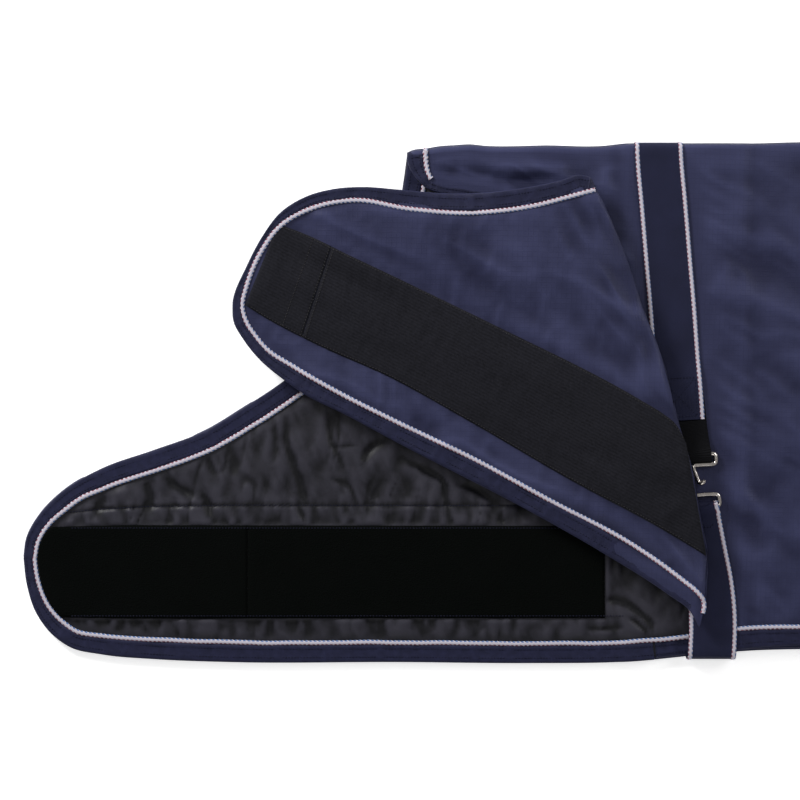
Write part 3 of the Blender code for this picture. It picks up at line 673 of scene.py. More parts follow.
line = inside(far_edge, far_width + 2.0 + 0.6 * noise(far_s, 0 * far_s, 26, 35))
far_trim = trim("far_trim", line, 6.9 + over_strap(line[:, 0]))
across_fold(far_trim)
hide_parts("far_neck_trim", "far_end_trim", "far_hem_trim")

# ---- Stitching ---------------------------------------------------------------------------------
# Lockstitch, a little over 3 mm to the stitch, each one small low arch. The thread is drawn 0.8 mm wide,
# coarser than it is, so that it shows.


def stitches(name, lines, finish, length=1.9, pitch=3.2, width=0.8, rise=0.32):
    """An arch of three sections at every pitch of each line: z + rise sin(pi t), t along the stitch."""
    points, faces, count = [], [], 0
    t = np.array([0.0, 0.5, 1.0])
    for path in lines:
        s = lengths(path)
        starts = np.arange(pitch * 0.3, s[-1] - length, pitch)
        at = starts[:, None] + length * t[None, :]
        centre = np.stack([np.interp(at, s, path[:, k]) for k in range(3)], -1)
        ahead = centre[:, 2] - centre[:, 0]
        ahead /= np.linalg.norm(ahead, axis=1)[:, None]
        side = np.column_stack([-ahead[:, 1], ahead[:, 0], 0 * ahead[:, 0]]) * width / 2
        lift = np.zeros_like(centre)
        lift[..., 2] = rise * np.sin(math.pi * t)[None, :] + 0.05
        sink = np.array([0, 0, -0.35])
        block = np.stack([centre + lift + side[:, None], centre + lift - side[:, None],
                          centre + sink - side[:, None], centre + sink + side[:, None]], 2)
        base = count + np.arange(len(starts))[:, None, None] * 12
        ring = np.arange(4)
        quads = np.array([[k * 4 + i, k * 4 + (i + 1) % 4, (k + 1) * 4 + (i + 1) % 4, (k + 1) * 4 + i]
                          for k in range(2) for i in ring] + [[3, 2, 1, 0], [8, 9, 10, 11]])
        faces.append((base + quads[None]).reshape(-1, 4))
        points.append(block.reshape(-1, 3))
        count += len(starts) * 12
    return add_mesh(name, np.vstack(points), np.vstack(faces), finish)


# Spun polyester thread: matt, with a fine twist that breaks up what light it catches.
thread, tree, shader = material("navy_polyester_thread", Base_Color=linear("#11132a"), Roughness=0.6,
                                Specular_IOR_Level=0.2)
place = node(tree, "ShaderNodeTexCoord").outputs["Object"]
twist = node(tree, "ShaderNodeTexWave", {"bands_direction": "DIAGONAL"}, Vector=place, Scale=900.0)
bump = node(tree, "ShaderNodeBump", Strength=0.4, Distance=0.0001, Height=twist.outputs["Fac"])
tree.links.new(bump.outputs[0], shader.inputs["Normal"])

SEWN_AT = (0.3, 0.76)  # shares of the tape's width at which its two rows run
rows = []
for share in SEWN_AT:
    row = inside(far_edge, far_width * share)
    rows.append(np.column_stack([row, FAR_TAPE_Z + SEWN_RISE + over_strap(row[:, 0])]))
far_rows = stitches("far_binding_stitches", rows, thread)
across_fold(far_rows)

# ---- Hook tape ---------------------------------------------------------------------------------
# 100 mm black hook tape on the lining, in two lengths that butt together. Its face is a dense pile of
# stiff monofilament hooks that swallows nearly all light.


def hook_face(name):
    """Hook tape: black pile in tufts 1.3 mm apart, rough enough to kill every highlight."""
    made, tree, shader = material(name, Roughness=0.95, Specular_IOR_Level=0.04)
    place = node(tree, "ShaderNodeTexCoord").outputs["Object"]
    pile = node(tree, "ShaderNodeTexVoronoi", Vector=place, Scale=750.0)
    patch = node(tree, "ShaderNodeTexNoise", Vector=place, Scale=22.0, Detail=6.0, Roughness=0.7)
    dye = node(tree, "ShaderNodeMix", {"data_type": "RGBA"},
               i0=patch.outputs["Fac"], i6=linear("#050706"), i7=linear("#090b0a"))
    bump = node(tree, "ShaderNodeBump", Strength=0.8, Distance=0.0006, Height=pile.outputs["Distance"])
    tree.links.new(dye.outputs[2], shader.inputs["Base Color"])
    tree.links.new(bump.outputs[0], shader.inputs["Normal"])
    return made


hook_black = hook_face("black_nylon_hook_pile")
HOOK_SEAM = -575.7  # where the two lengths butt together
beside_trim = inside(far_edge, far_width + 5.0)
level_with_tape = np.abs(beside_trim[:, 1] - (TAPE_LOW + TAPE_HIGH) / 2) < 48.0
tape_end = beside_trim[level_with_tape & (beside_trim[:, 0] < -700)]
leftmost = tape_end[:, 0].argmin()
tape_low = np.vstack([tape_end[leftmost:], [(-700.0, -225.0), (TAPE_RIGHT, -224.2)]])
tape_high = np.vstack([tape_end[:leftmost + 1], [(-700.0, -127.6), (TAPE_RIGHT, -128.6)]])


def hook_height(x, y):
    """Height of the tape's face: it lies over the lining's slow swell, with a slight wave of its own."""
    return 9.4 + 0.8 * noise(x, y, 90, 11) + 0.3 * noise(x, y, 26, 41)


def hook_length(name, xs, rows=30):
    """A length of tape: a grid between its long edges, lowered 0.6 mm at its rim, with a wall below."""
    x, y = columns(tape_low, tape_high, xs, rows)
    v = np.linspace(0, 1, rows)[None, :]
    u = np.linspace(0, 1, len(xs))[:, None]
    rim = np.minimum(np.minimum(v, 1 - v) * 95, np.minimum(u, 1 - u) * (xs[-1] - xs[0]))
    z = hook_height(x, y) - 0.6 * (1 - smoothstep(rim, 0, 1.6))
    return cloth(name, x, y, z, 1.9, hook_black, np.stack([x, y], -1).reshape(-1, 2))


front_xs = spaced(tape_end[leftmost, 0] + 0.1, HOOK_SEAM - 0.05, 3.0, 20.0)
hook_front = hook_length("hook_tape_front", front_xs)
hook_rear = hook_length("hook_tape_rear", spaced(HOOK_SEAM + 0.05, TAPE_RIGHT, 3.0))
across_fold(hook_front)
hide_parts("far_hook_tape_front", "far_end_hook_tape")
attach(hook_rear, "rug")
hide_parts("far_hook_tape_rear")

seam_x = np.arange(-772.0, -180.0, 2.0)
seam_y = quilt_line(seam_x)
rows = [np.column_stack([seam_x, seam_y, far_lining_height(seam_x, seam_y) + 0.5])]
for sewn_y in (TAPE_LOW + 2.5, TAPE_HIGH - 2.5):
    row = np.column_stack([seam_x[6:], np.full(len(seam_x) - 6, sewn_y)])
    rows.append(np.column_stack([row, hook_height(*row.T) + 0.1]))
lining_rows = stitches("lining_stitches", rows, thread)
across_fold(lining_rows)

# ---- Near half: shell and lining ---------------------------------------------------------------
# The near side's ripstop, face up over its own wadding. It is smooth and a little puffed, with soft
# hollows where the binding, the neckline and the strap draw it in.

NEAR_Z = 12.8  # the shell's outer face along its seams
NEAR_NECK = [
    (-409.8, 264.0), (-406.6, 250.0), (-398.3, 233.5), (-389.0, 223.0), (-376.5, 217.6),
    (-351.5, 213.6), (-313.0, 206.0),
]
PLEAT_TOP, PLEAT_FOOT = np.array([-313.0, 216.8]), np.array([-75.0, -257.9])  # the near half turns back here
near_neck = curve(NEAR_NECK, 1.5)
near_front = curve([PLEAT_FOOT, (-40.0, -254.5), (0.0, -252.5), (200.0, -254.0), (570.0, -257.9)], 2.0)
near_rear = curve([(570.0, -257.9)] + rear_corner(-257.9), 2.0)
near_hem = np.vstack([near_front, near_rear[1:]])
near_lower = np.vstack([near_neck, [PLEAT_FOOT], near_hem[near_hem[:, 1] < -189]])
near_upper = np.array([(-409.8, SPINE_Y), (639.9, SPINE_Y)])
near_xs = np.concatenate([spaced(-409.5, 60.0, 3.4), spaced(68.0, 639.9, 9.0)])
STRAP_BENDS = [(-264, -93.6), (-226, -93.6), (-104, -114.6), (-18, -126.4), (91, -134.6), (264, -148.8)]
strap_y = np.linspace(-264, 264, 260)
strap_line = np.column_stack([np.interp(strap_y, *np.transpose(STRAP_BENDS)), strap_y])
SHELL_FOLDS = [
    ([(-67.6, -208.5), (-41.6, -222.0)], 5.0, -1.8),
    ([(-372.0, 236.0), (-352.0, 226.0)], 8.0, -2.8),
    ([(-325.0, 225.0), (-287.0, 231.0), (-245.0, 236.0)], 13.0, -4.2),
    ([(-362.0, 228.0), (-330.0, 220.0), (-270.0, 221.0)], 9.0, -1.6),
    ([(-345.0, 250.0), (-250.0, 246.0), (-205.0, 252.0)], 10.0, 1.4),
    ([(-20.0, 215.0), (-60.0, 165.0), (-70.0, 120.0)], 14.0, -1.4),
    ([(10.0, 70.0), (-50.0, 40.0), (-80.0, 10.0)], 16.0, -1.2),
    ([(0.0, -60.0), (-40.0, -95.0), (-60.0, -140.0)], 15.0, -1.2),
]


def near_height(x, y):
    """Puff inside the bindings, slow swells, shallow drags from the neck and the strap, and fine crush."""
    edge = np.vstack([near_neck, near_hem[::2]])
    d, strap = distance(x, y, edge), distance(x, y, strap_line[::2])
    puff = 2.4 * smoothstep(d, 18, 60)
    swell = 2.6 * noise(x, y, 150, 51) + 1.9 * noise((x - 0.5 * y) / 2.6, y + 0.5 * x, 40, 52)
    drag = 2.6 * creases(x, y, 46, 3.5, -28, 53) * pull(strap, 170)
    neck = 3.0 * creases(x, y, 22, 3.0, -12, 54) * smoothstep(-x, 120, 300) * smoothstep(y, 120, 200)
    pucker = 1.0 * noise(x, y / 3, 8, 55) * pull(d - 22, 12)
    crush = 0.7 * creases(x, y, 15, 3.0, -30, 56) + 0.2 * noise(x, y, 6, 57)
    held = smoothstep(strap, 26, 60)
    puff = puff + sum(high * valley(x, y, route, width) for route, width, high in SHELL_FOLDS)
    loose = smoothstep(d, 14, 30) * held * (puff + swell + drag + neck + pucker + crush)
    return NEAR_Z + over_strap(x) + np.maximum(loose, -3.0)  # no fold reaches the lining


def near_shell_surface(rows=150):
    """The drop, then a quarter turn down round the spine to the seam."""
    turn = round_spine(6)
    x, y = columns(near_lower, near_upper, near_xs, rows - len(turn))
    ease = 1 - smoothstep(y, 240, 263)
    y = follow_spine(x, y)
    level = NEAR_Z + over_strap(x)
    z = level + (near_height(x, y) - level) * ease
    tx = np.repeat(x[:, -1:], len(turn), 1)
    ty = y[:, -1:] + SPINE_R * np.sin(turn)
    tz = SPINE_Z + over_strap(tx) + SPINE_R * np.cos(turn)
    return np.hstack([x, tx]), np.hstack([y, ty]), np.hstack([z, tz])


near_shell = cloth("near_outer_shell", *near_shell_surface(), SHELL_THICK, navy)
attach(near_shell, "rug")
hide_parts("near_shell", "near_fill")

x, y = columns(near_lower + (0, 2.0), near_upper - (0, 1.0), near_xs[3::2], 60)
z = 8.4 + over_strap(x) + 0.2 * noise(x, y, 40, 58)
near_lining = cloth("near_quilted_lining", x, y, z, LINING_THICK, black_nylon)
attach(near_lining, "rug")
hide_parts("near_lining")

near_neck[:, 1] = follow_spine(*near_neck.T)
neck_turn = np.radians([70.0, 53.0, 35.0, 18.0])  # the tape follows the shell a little way round the spine
roll = np.column_stack([np.full(4, near_neck[0, 0]), near_neck[0, 1] + (SPINE_R + 1.5) * np.sin(neck_turn)])
neck_tape = np.vstack([roll, near_neck])
neck_drop = np.concatenate([SPINE_R * (1 - np.cos(neck_turn)), np.zeros(len(near_neck))])
NEAR_TAPE_Z, NEAR_CORD_Z = 10.35, 14.0  # the middle of the bound edge, and of the cord beside it
near_widths = {
    "neck": np.interp(lengths(neck_tape), (0, 22, 37, 47, 67), (18.0, 15.5, 9.5, 8.0, 8.0)),
    "hem": np.interp(near_hem[:, 0], (-75, 0, 100), (20.5, 17.5, 18.5)),
}
for place, edge, drop in (("neck", neck_tape, neck_drop), ("hem", near_hem, 0.0)):
    lifted = over_strap(edge[:, 0]) - drop
    width = near_widths[place]
    tape = binding(f"near_{place}_tape", edge, NEAR_TAPE_Z + lifted, TAPE_HALF, width)
    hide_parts(f"near_{place}_binding")
    line = inside(edge, width + 2.0)
    if place == "neck":
        line = line[lengths(edge) < 43]
        rise = spine_wave(line[:, 0]) - spine_wave(edge[:len(line), 0])
        line[:, 1] += rise * smoothstep(line[:, 1], 235, 256)
    cord = trim(f"near_{place}_cord", line, (NEAR_CORD_Z + lifted)[:len(line)])
    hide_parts(f"near_{place}_trim")
    top = NEAR_TAPE_Z + SEWN_RISE + lifted
    sewn = [np.column_stack([inside(edge, width * share), top]) for share in SEWN_AT]
    seam = stitches(f"near_{place}_stitches", sewn, thread)
    for piece, slot in ((tape, "navy_tape"), (cord, "twisted_trim"), (seam, "navy_tape")):
        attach(piece, "rug")

# ---- Near chest flap ---------------------------------------------------------------------------
# Shell, wadding and lining in one padded flap, turned back up over the shoulder. Its right-hand side
# is a soft fold of the same cloth; every other side is bound.

FLAP_EDGE = [
    (-220.5, 232.4), (-235.0, 234.7), (-246.2, 230.7), (-293.5, 220.5), (-336.3, 216.0), (-366.4, 216.4),
    (-416.1, 220.4), (-455.9, 223.4), (-485.7, 221.3), (-513.8, 213.7), (-541.4, 196.5), (-559.5, 172.6),
    (-575.3, 142.8), (-590.8, 101.0), (-589.3, 83.1), (-579.3, 65.2), (-565.3, 47.3), (-537.5, 23.4),
    (-517.6, 9.5), (-473.8, -12.5), (-417.0, -43.0), (-284.3, -111.8), (-204.9, -157.0), (-138.4, -199.5),
    (-117.5, -215.4), (-108.2, -233.5),
]
FLAP_FOLD = [
    (-103.0, -207.5), (-101.3, -188.8), (-101.0, -157.0), (-108.6, -109.3), (-116.8, -64.0), (-128.4, -27.0),
    (-146.6, 44.2), (-167.2, 99.8), (-185.3, 154.0), (-203.3, 197.1), (-218.4, 228.3),
]
FLAP_TRIM = [
    (-216.0, 219.0), (-246.0, 211.0), (-279.8, 202.3), (-335.9, 196.0), (-406.6, 200.2), (-465.9, 209.6),
    (-505.4, 202.3), (-539.8, 184.0), (-562.0, 154.4), (-575.2, 123.2), (-580.4, 97.1), (-575.2, 81.6),
    (-566.9, 69.2), (-557.5, 57.6), (-525.2, 35.9), (-485.7, 13.0), (-426.4, -17.2), (-338.0, -59.8),
    (-257.9, -103.5), (-177.8, -146.1), (-124.8, -183.6), (-110.5, -195.5), (-104.6, -203.5),
    (-103.8, -210.0), (-105.2, -217.0),
]
FLAP_LOW, FLAP_HIGH, FLAP_RAMP = 14.9, 28.6, 60.0  # underside of the lining, left and right of the slope
FLAP_MIDDLE = 2.5  # the wadding's middle over the underside; the shell's puff is measured from it
flap_edge, flap_fold, flap_trim_line = curve(FLAP_EDGE, 2.0), curve(FLAP_FOLD, 2.0), curve(FLAP_TRIM, 2.0)
tip = int(np.argmin(flap_edge[:, 0]))
flap_upper = np.vstack([flap_edge[:tip + 1], flap_fold[flap_fold[:, 1] > -157]])
flap_lower = np.vstack([flap_edge[tip:], flap_fold[flap_fold[:, 1] <= -157]])
pleat_ahead = (PLEAT_FOOT - PLEAT_TOP) / np.linalg.norm(PLEAT_FOOT - PLEAT_TOP)
pleat_right = np.array([-pleat_ahead[1], pleat_ahead[0]])


def beside_pleat(x, y):
    """Distance to the right of the line where the near half turns back."""
    return (x - PLEAT_TOP[0]) * pleat_right[0] + (y - PLEAT_TOP[1]) * pleat_right[1]


def flap_base(x, y):
    """Underside of the flap: low over the far half, and up a soft slope over the pleat."""
    return FLAP_LOW + (FLAP_HIGH - FLAP_LOW) * smoothstep(beside_pleat(x, y), -FLAP_RAMP * 1.2, 4.0)


BAND_UPPER = curve([(-543.5, 184.6), (-525.5, 178.6), (-465.9, 150.7), (-386.3, 112.8), (-313.0, 77.1),
                    (-169.5, 2.6), (-145.6, -12.0), (-134.0, -21.3), (-127.5, -31.2), (-122.3, -42.0)], 2.0)
BAND_LOWER = curve([(-577.3, 101.0), (-565.3, 93.1), (-505.6, 61.2), (-426.1, 25.5), (-350.5, -16.4),
                    (-231.3, -85.4), (-151.8, -127.8), (-101.5, -158.0)], 2.0)


def fold_round(d):
    """The soft fold's round shoulder, 0 to 1 at distance d inside it: a quarter circle of 9 mm."""
    return np.sqrt(np.clip(1 - (1 - np.clip(d / 9.0, 0, 1)) ** 2, 0, 1))


def flap_puff(x, y):
    """How far the shell stands over the wadding's middle: full inside, round at the fold, low at seams."""
    outer, fold = distance(x, y, flap_edge), distance(x, y, flap_fold)
    sewn = distance(x, y, flap_trim_line)
    upper, lower = distance(x, y, BAND_UPPER), distance(x, y, BAND_LOWER)
    middle = np.minimum(upper, lower)
    roll = fold_round(fold)
    swell = 1.8 * noise(x, y, 80, 61) + 1.3 * noise((x - 0.6 * y) / 2.2, y + 0.6 * x, 26, 62)
    drag = 2.6 * creases(x, y, 34, 3.4, 148, 63) * smoothstep(middle, 4, 30)
    rays = 2.2 * creases(x, y, 22, 3.0, 118, 64) * pull(fold, 70) * smoothstep(middle, 2, 14)
    crush = 0.5 * creases(x, y, 15, 2.2, 75, 65) + 0.2 * noise(x, y, 6, 66)
    drawn = -0.9 * pull(sewn, 7) - 0.9 * pull(middle, 6)
    free = smoothstep(outer, 8, 26) * roll
    return 2.4 + free * (1.6 + swell + drag + rays + crush + drawn) - 2.4 * (1 - roll)


flap_xs = np.concatenate([spaced(-590.6, -112.0, 2.8, 30.0), spaced(-110.5, -100.5, 1.6)])
x, y = columns(flap_lower, flap_upper, flap_xs, 150)
flap_top = flap_base(x, y) + FLAP_MIDDLE + flap_puff(x, y)
flap_shell = cloth("near_flap_outer_shell", x, y, flap_top, SHELL_THICK, navy)
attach(flap_shell, "near_flap")
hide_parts("near_flap_shell", "near_flap_fill")

roll = fold_round(distance(x, y, flap_fold))
slack = 0.25 * creases(x, y, 16, 2.4, 60, 67) * smoothstep(distance(x, y, flap_edge), 16, 30)
z = flap_base(x, y) + 2.0 * (1 - roll) + 0.5 + slack
flap_lining = cloth("near_flap_back_lining", x, y, z, LINING_THICK, black_nylon)
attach(flap_lining, "near_flap")
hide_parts("near_flap_lining")

bound = flap_edge[flap_edge[:, 1] > -214]
trim_gap = distance(bound[:, 0], bound[:, 1], flap_trim_line)
# The tape reaches to just short of the cord, its width averaged over 17 points of the edge.
flap_width = np.clip(np.convolve(np.pad(trim_gap, 8, "edge"), np.ones(17) / 17, "valid") - 1.9, 7.0, 20.0)
base = flap_base(bound[:, 0], bound[:, 1])
flap_binding = binding("near_flap_tape", bound, base + 2.45, 3.2, flap_width)
cord_z = flap_base(*flap_trim_line.T) + FLAP_MIDDLE + flap_puff(*flap_trim_line.T) + 0.75
flap_trim = trim("near_flap_cord", flap_trim_line, cord_z)
sewn = [np.column_stack([inside(bound, flap_width * share), base + 5.75]) for share in SEWN_AT]
flap_rows = stitches("near_flap_stitches", sewn, thread)
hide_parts("near_flap_binding")
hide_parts("near_flap_trim")
for piece, slot in ((flap_binding, "navy_tape"), (flap_trim, "twisted_trim"), (flap_rows, "navy_tape")):
    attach(piece, "near_flap")

# ---- Loop tape ---------------------------------------------------------------------------------
# 100 mm black loop tape across the flap, sewn on along both edges and across twice at its end. Its
# brushed nylon face is ribbed along the length and slightly hairy.


def loop_face(name):
    """Loop tape: ribs drawn 3 mm apart along it under brushed hair, grey where the hair catches light."""
    made, tree, shader = material(name, Roughness=0.9, Specular_IOR_Level=0.12, Sheen_Weight=0.04)
    place = node(tree, "ShaderNodeTexCoord").outputs["Object"]
    turned = node(tree, "ShaderNodeMapping", Vector=place, Rotation=(0, 0, math.radians(27)))
    ribs = node(tree, "ShaderNodeTexWave", {"bands_direction": "Y"}, Vector=turned.outputs[0], Scale=98.0,
                Distortion=2.5, Detail=3.0)
    hair = node(tree, "ShaderNodeTexNoise", Vector=turned.outputs[0], Scale=420.0, Detail=6.0, Roughness=0.7)
    rib_share = node(tree, "ShaderNodeMath", {"operation": "MULTIPLY_ADD"},
                     i0=ribs.outputs["Fac"], i1=0.16, i2=-0.16)
    both = node(tree, "ShaderNodeMath", {"operation": "ADD"},
                i0=rib_share.outputs[0], i1=hair.outputs["Fac"])
    dye = node(tree, "ShaderNodeMix", {"data_type": "RGBA"},
               i0=both.outputs[0], i6=linear("#08080b"), i7=linear("#2c2c34"))
    bump = node(tree, "ShaderNodeBump", Strength=0.6, Distance=0.0005, Height=both.outputs[0])
    tree.links.new(dye.outputs[2], shader.inputs["Base Color"])
    tree.links.new(bump.outputs[0], shader.inputs["Normal"])
    return made


loop_black = loop_face("black_nylon_loop_pile")
LOOP_LENGTH, LOOP_STEP = 490, 3


def loop_surface(u0, u1, rows=34):
    """Straight lines across the tape from its lower to its upper edge, at even shares of its length."""
    u = np.linspace(u0, u1, int(LOOP_LENGTH * (u1 - u0) / LOOP_STEP))
    low_s, high_s = lengths(BAND_LOWER), lengths(BAND_UPPER)
    foot = np.column_stack([np.interp(u * low_s[-1], low_s, BAND_LOWER[:, k]) for k in range(2)])
    top = np.column_stack([np.interp(u * high_s[-1], high_s, BAND_UPPER[:, k]) for k in range(2)])
    v = np.linspace(0, 1, rows)[None, :]
    x = foot[:, :1] * (1 - v) + top[:, :1] * v
    y = foot[:, 1:] * (1 - v) + top[:, 1:] * v
    rim = np.minimum(v, 1 - v) * 92
    over_shell = 1.15 - 0.5 * (1 - smoothstep(rim, 0, 1.8))
    z = flap_base(x, y) + FLAP_MIDDLE + flap_puff(x, y) + over_shell
    return x, y, z


LOOP_JOIN = 0.125  # share of the tape's length where its two lengths butt together
for place, ends in (("front", (0.0, LOOP_JOIN - 0.0005)), ("rear", (LOOP_JOIN + 0.0005, 1.0))):
    piece = cloth(f"loop_tape_{place}", *loop_surface(*ends), 1.6, loop_black)
    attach(piece, "near_flap")
    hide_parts(f"near_loop_tape_{place}")

charcoal_thread = thread.copy()  # the same thread, dyed to go with the black tape
charcoal_thread.name = "charcoal_polyester_thread"
charcoal_thread.node_tree.nodes["Principled BSDF"].inputs["Base Color"].default_value = linear("#2b2a2c")
x, y, z = loop_surface(0.01, 0.99, 2)
sewn = []
for share in (0.018, 0.982):
    line = np.column_stack([across[:, 0] * (1 - share) + across[:, 1] * share for across in (x, y)])
    sewn.append(np.column_stack([line, flap_base(*line.T) + flap_puff(*line.T) + 3.5]))
for share in (0.082, LOOP_JOIN - 0.004, LOOP_JOIN + 0.006):
    x, y, z = loop_surface(share, share + 0.02)
    sewn.append(np.column_stack([x[0], y[0], z[0] + 0.1]))
loop_rows = stitches("loop_tape_stitches", sewn, charcoal_thread)
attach(loop_rows, "near_flap")

# ---- The pleat's turned-back layer -------------------------------------------------------------
# Between the near half and the flap lies one more layer of the same padded cloth, lining up. It is
# slack, so it gathers as the flap swings forward.

PLEAT_LOW, PLEAT_HIGH = 15.8, 25.6  # the layer's upper face, left and right of its slope
pleat_run = PLEAT_FOOT - PLEAT_TOP
s = np.linspace(0, 1, 50)[:, None]
left = (PLEAT_TOP + 0.06 * pleat_run) * (1 - s) + (PLEAT_TOP + 0.51 * pleat_run) * s
right_x = np.interp(left[:, 1], flap_fold[:, 1], flap_fold[:, 0])[:, None] - 4.0
v = np.linspace(0, 1, 40)[None, :]
x = left[:, :1] * (1 - v) + right_x * v
y = np.repeat(left[:, 1:], 40, 1)
gathers = 0.5 * creases(x, y, 15, 2.2, 62, 68) * np.sin(math.pi * v)
z = PLEAT_LOW + over_strap(x) * (1 - v) + (PLEAT_HIGH - PLEAT_LOW) * smoothstep(v, 0.0, 0.55) + gathers
pleat = cloth("pleat_layer", x, y, z, 3.0, black_nylon)
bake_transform(pleat)
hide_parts("near_pleat_return")

# ---- Girth strap -------------------------------------------------------------------------------
# 50 mm navy polypropylene webbing with a twisted cord woven along each edge. It crosses the spine,
# passes beneath the rug and comes up round the hem to its ring; its near end is box-stitched over the
# elastic.

EDGE_CORD = 2.5  # the cords' middle from the webbing's edge
STRAP_WIDTH, STRAP_THICK = 50.0, 1.4
STRAP_MID, STRAP_RADIUS = 8.2, 7.45  # its turn round the spine
RING_Z, RING_BAR = 18.7, np.array([-113.0, -110.8])
over_spine = np.radians(np.linspace(90, -90, 13))
lap = np.radians(np.linspace(80, -80, 11))
strap_path = curve([
    (-125.8, -18.6, 17.3), (-127.0, 0.0, 17.3), (-128.8, 24.0, 17.1), (-130.4, 42.0, 15.9),
    (-132.2, 66.0, 15.8), (-134.0, 91.0, 15.8), (-139.0, 150.0, 15.8), (-144.0, 210.0, 15.75),
    (-147.6, 250.0, 15.7),
    *[(-148.2, SPINE_Y - 1.5 + STRAP_RADIUS * math.cos(a), STRAP_MID + STRAP_RADIUS * math.sin(a))
      for a in over_spine],
    (-148.0, 250.0, 0.78), (-135.0, 130.0, 0.78), (-121.0, 0.0, 0.78), (-107.0, -130.0, 0.78),
    (-94.2, -254.0, 0.78), (-93.6, -261.0, 0.8), (-93.6, -265.0, 1.8), (-93.6, -266.3, 4.4),
    (-93.6, -266.4, 8.0), (-93.6, -265.8, 12.0), (-93.4, -263.4, 15.4), (-93.2, -259.0, 16.6),
    (-92.8, -250.0, 16.8), (-92.3, -236.0, 16.7), (-92.4, -222.0, 16.0), (-95.7, -188.8, 15.8),
    (-101.2, -160.5, 15.9), (-106.8, -132.6, 16.9), (-109.0, -122.0, 18.6), (-110.4, -115.0, 20.6),
    *[(-112.6, RING_BAR[1] + 8.2 * math.cos(a), RING_Z + 3.05 * math.sin(a)) for a in lap],
    (-111.5, -117.0, 15.5), (-110.0, -125.0, 15.3), (-108.6, -133.5, 15.3),
], 1.5)


def strap_frame(path, turn=0.0):
    """Unit vectors across a strap and out of its face: X, turned in plan and made square to the path."""
    a = math.radians(turn)
    ahead = np.gradient(path, axis=0)
    ahead /= np.linalg.norm(ahead, axis=1)[:, None]
    side = np.tile([math.cos(a), math.sin(a), 0.0], (len(path), 1))
    side -= ahead * (side * ahead).sum(1)[:, None]
    side /= np.linalg.norm(side, axis=1)[:, None]
    return side, np.cross(ahead, -side)


def flat_strap(name, path, width, thickness, finish, turn=0.0):
    """Webbing along a path: 13 points across it at every step, with a wall about the surface."""
    across = np.linspace(-0.5, 0.5, 13) * width
    side, _ = strap_frame(path, turn)
    grid = path[:, None] + side[:, None] * across[None, :, None]
    uv = np.stack(np.broadcast_arrays(lengths(path)[:, None], across[None]), -1).reshape(-1, 2)
    made = add_mesh(name, grid.reshape(-1, 3), grid_faces(*grid.shape[:2]), finish, uv)
    wall = made.modifiers.new("wall", "SOLIDIFY")
    wall.thickness = thickness * MM
    wall.offset = 0
    soft = made.modifiers.new("soft edge", "BEVEL")
    soft.width = 0.3 * MM
    soft.segments = 2
    soft.limit_method = "ANGLE"
    soft.angle_limit = math.radians(50)
    return made


def webbing(name, colour, pale):
    """Polypropylene webbing: a herringbone of 1.4 mm ribs along the strap, glossier than the tape."""
    made, tree, shader = material(name, Roughness=0.62, Specular_IOR_Level=0.16)
    along = node(tree, "ShaderNodeUVMap")
    parts = node(tree, "ShaderNodeSeparateXYZ", i0=along.outputs[0])
    zig = node(tree, "ShaderNodeMath", {"operation": "PINGPONG"}, i0=parts.outputs["Y"], i1=0.0016)
    slope = node(tree, "ShaderNodeMath", {"operation": "ADD"}, i0=parts.outputs["X"], i1=zig.outputs[0])
    rib = node(tree, "ShaderNodeMath", {"operation": "PINGPONG"}, i0=slope.outputs[0], i1=0.0007)
    rise = node(tree, "ShaderNodeMath", {"operation": "DIVIDE"}, i0=rib.outputs[0], i1=0.0007)
    place = node(tree, "ShaderNodeTexCoord").outputs["Object"]
    soft = node(tree, "ShaderNodeTexNoise", Vector=place, Scale=40.0, Detail=4.0)
    dark = node(tree, "ShaderNodeMath", {"operation": "MULTIPLY"},
                i0=rise.outputs[0], i1=soft.outputs["Fac"])
    dye = node(tree, "ShaderNodeMix", {"data_type": "RGBA"},
               i0=dark.outputs[0], i6=linear(colour), i7=linear(pale))
    bump = node(tree, "ShaderNodeBump", Strength=0.5, Distance=0.0004, Height=rise.outputs[0])
    tree.links.new(dye.outputs[2], shader.inputs["Base Color"])
    tree.links.new(bump.outputs[0], shader.inputs["Normal"])
    return made


navy_webbing = webbing("navy_polypropylene_webbing", "#181a30", "#2c2f50")
strap = flat_strap("girth_webbing", strap_path, STRAP_WIDTH, STRAP_THICK, navy_webbing)
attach(strap, "rug")
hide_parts("girth_strap")


def edge_cord(name, path, offset):
    """The trim's own cord carried beside the strap: its ellipse stands on the webbing's outer face."""
    side, out = strap_frame(path)
    across, up, flat = two_ply(lengths(path))
    centre = path + side * offset + out * 0.35
    grid = centre[:, None] + side[:, None] * across[..., None] + out[:, None] * (1.1 * up)[..., None]
    grid[..., 2] = np.maximum(grid[..., 2], 0.02)  # pressed flat where the rug lies on it
    uv = np.stack(np.broadcast_arrays(lengths(path)[:, None], flat[None]), -1)
    return closed_band(name, grid, uv, pale_cord)


for place, sign in (("left", -1), ("right", 1)):
    cord = edge_cord(f"girth_strap_cord_{place}", strap_path, sign * (STRAP_WIDTH / 2 - EDGE_CORD))
    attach(cord, "rug")
    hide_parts(f"girth_strap_trim_{place}")


def box_stitch(centre, width, height, z, degrees):
    """The four sides and two diagonals of a box stitch."""
    w, h = width / 2, height / 2
    a = math.radians(degrees)
    corners = np.array([(-w, -h), (w, -h), (w, h), (-w, h)])
    corners = corners @ np.array([[math.cos(a), math.sin(a)], [-math.sin(a), math.cos(a)]]) + centre
    pairs = [(0, 1), (1, 2), (2, 3), (3, 0), (0, 2), (1, 3)]
    t = np.linspace(0, 1, 12)[:, None]
    return [np.column_stack([corners[i] * (1 - t) + corners[j] * t, np.full(12, z)]) for i, j in pairs]


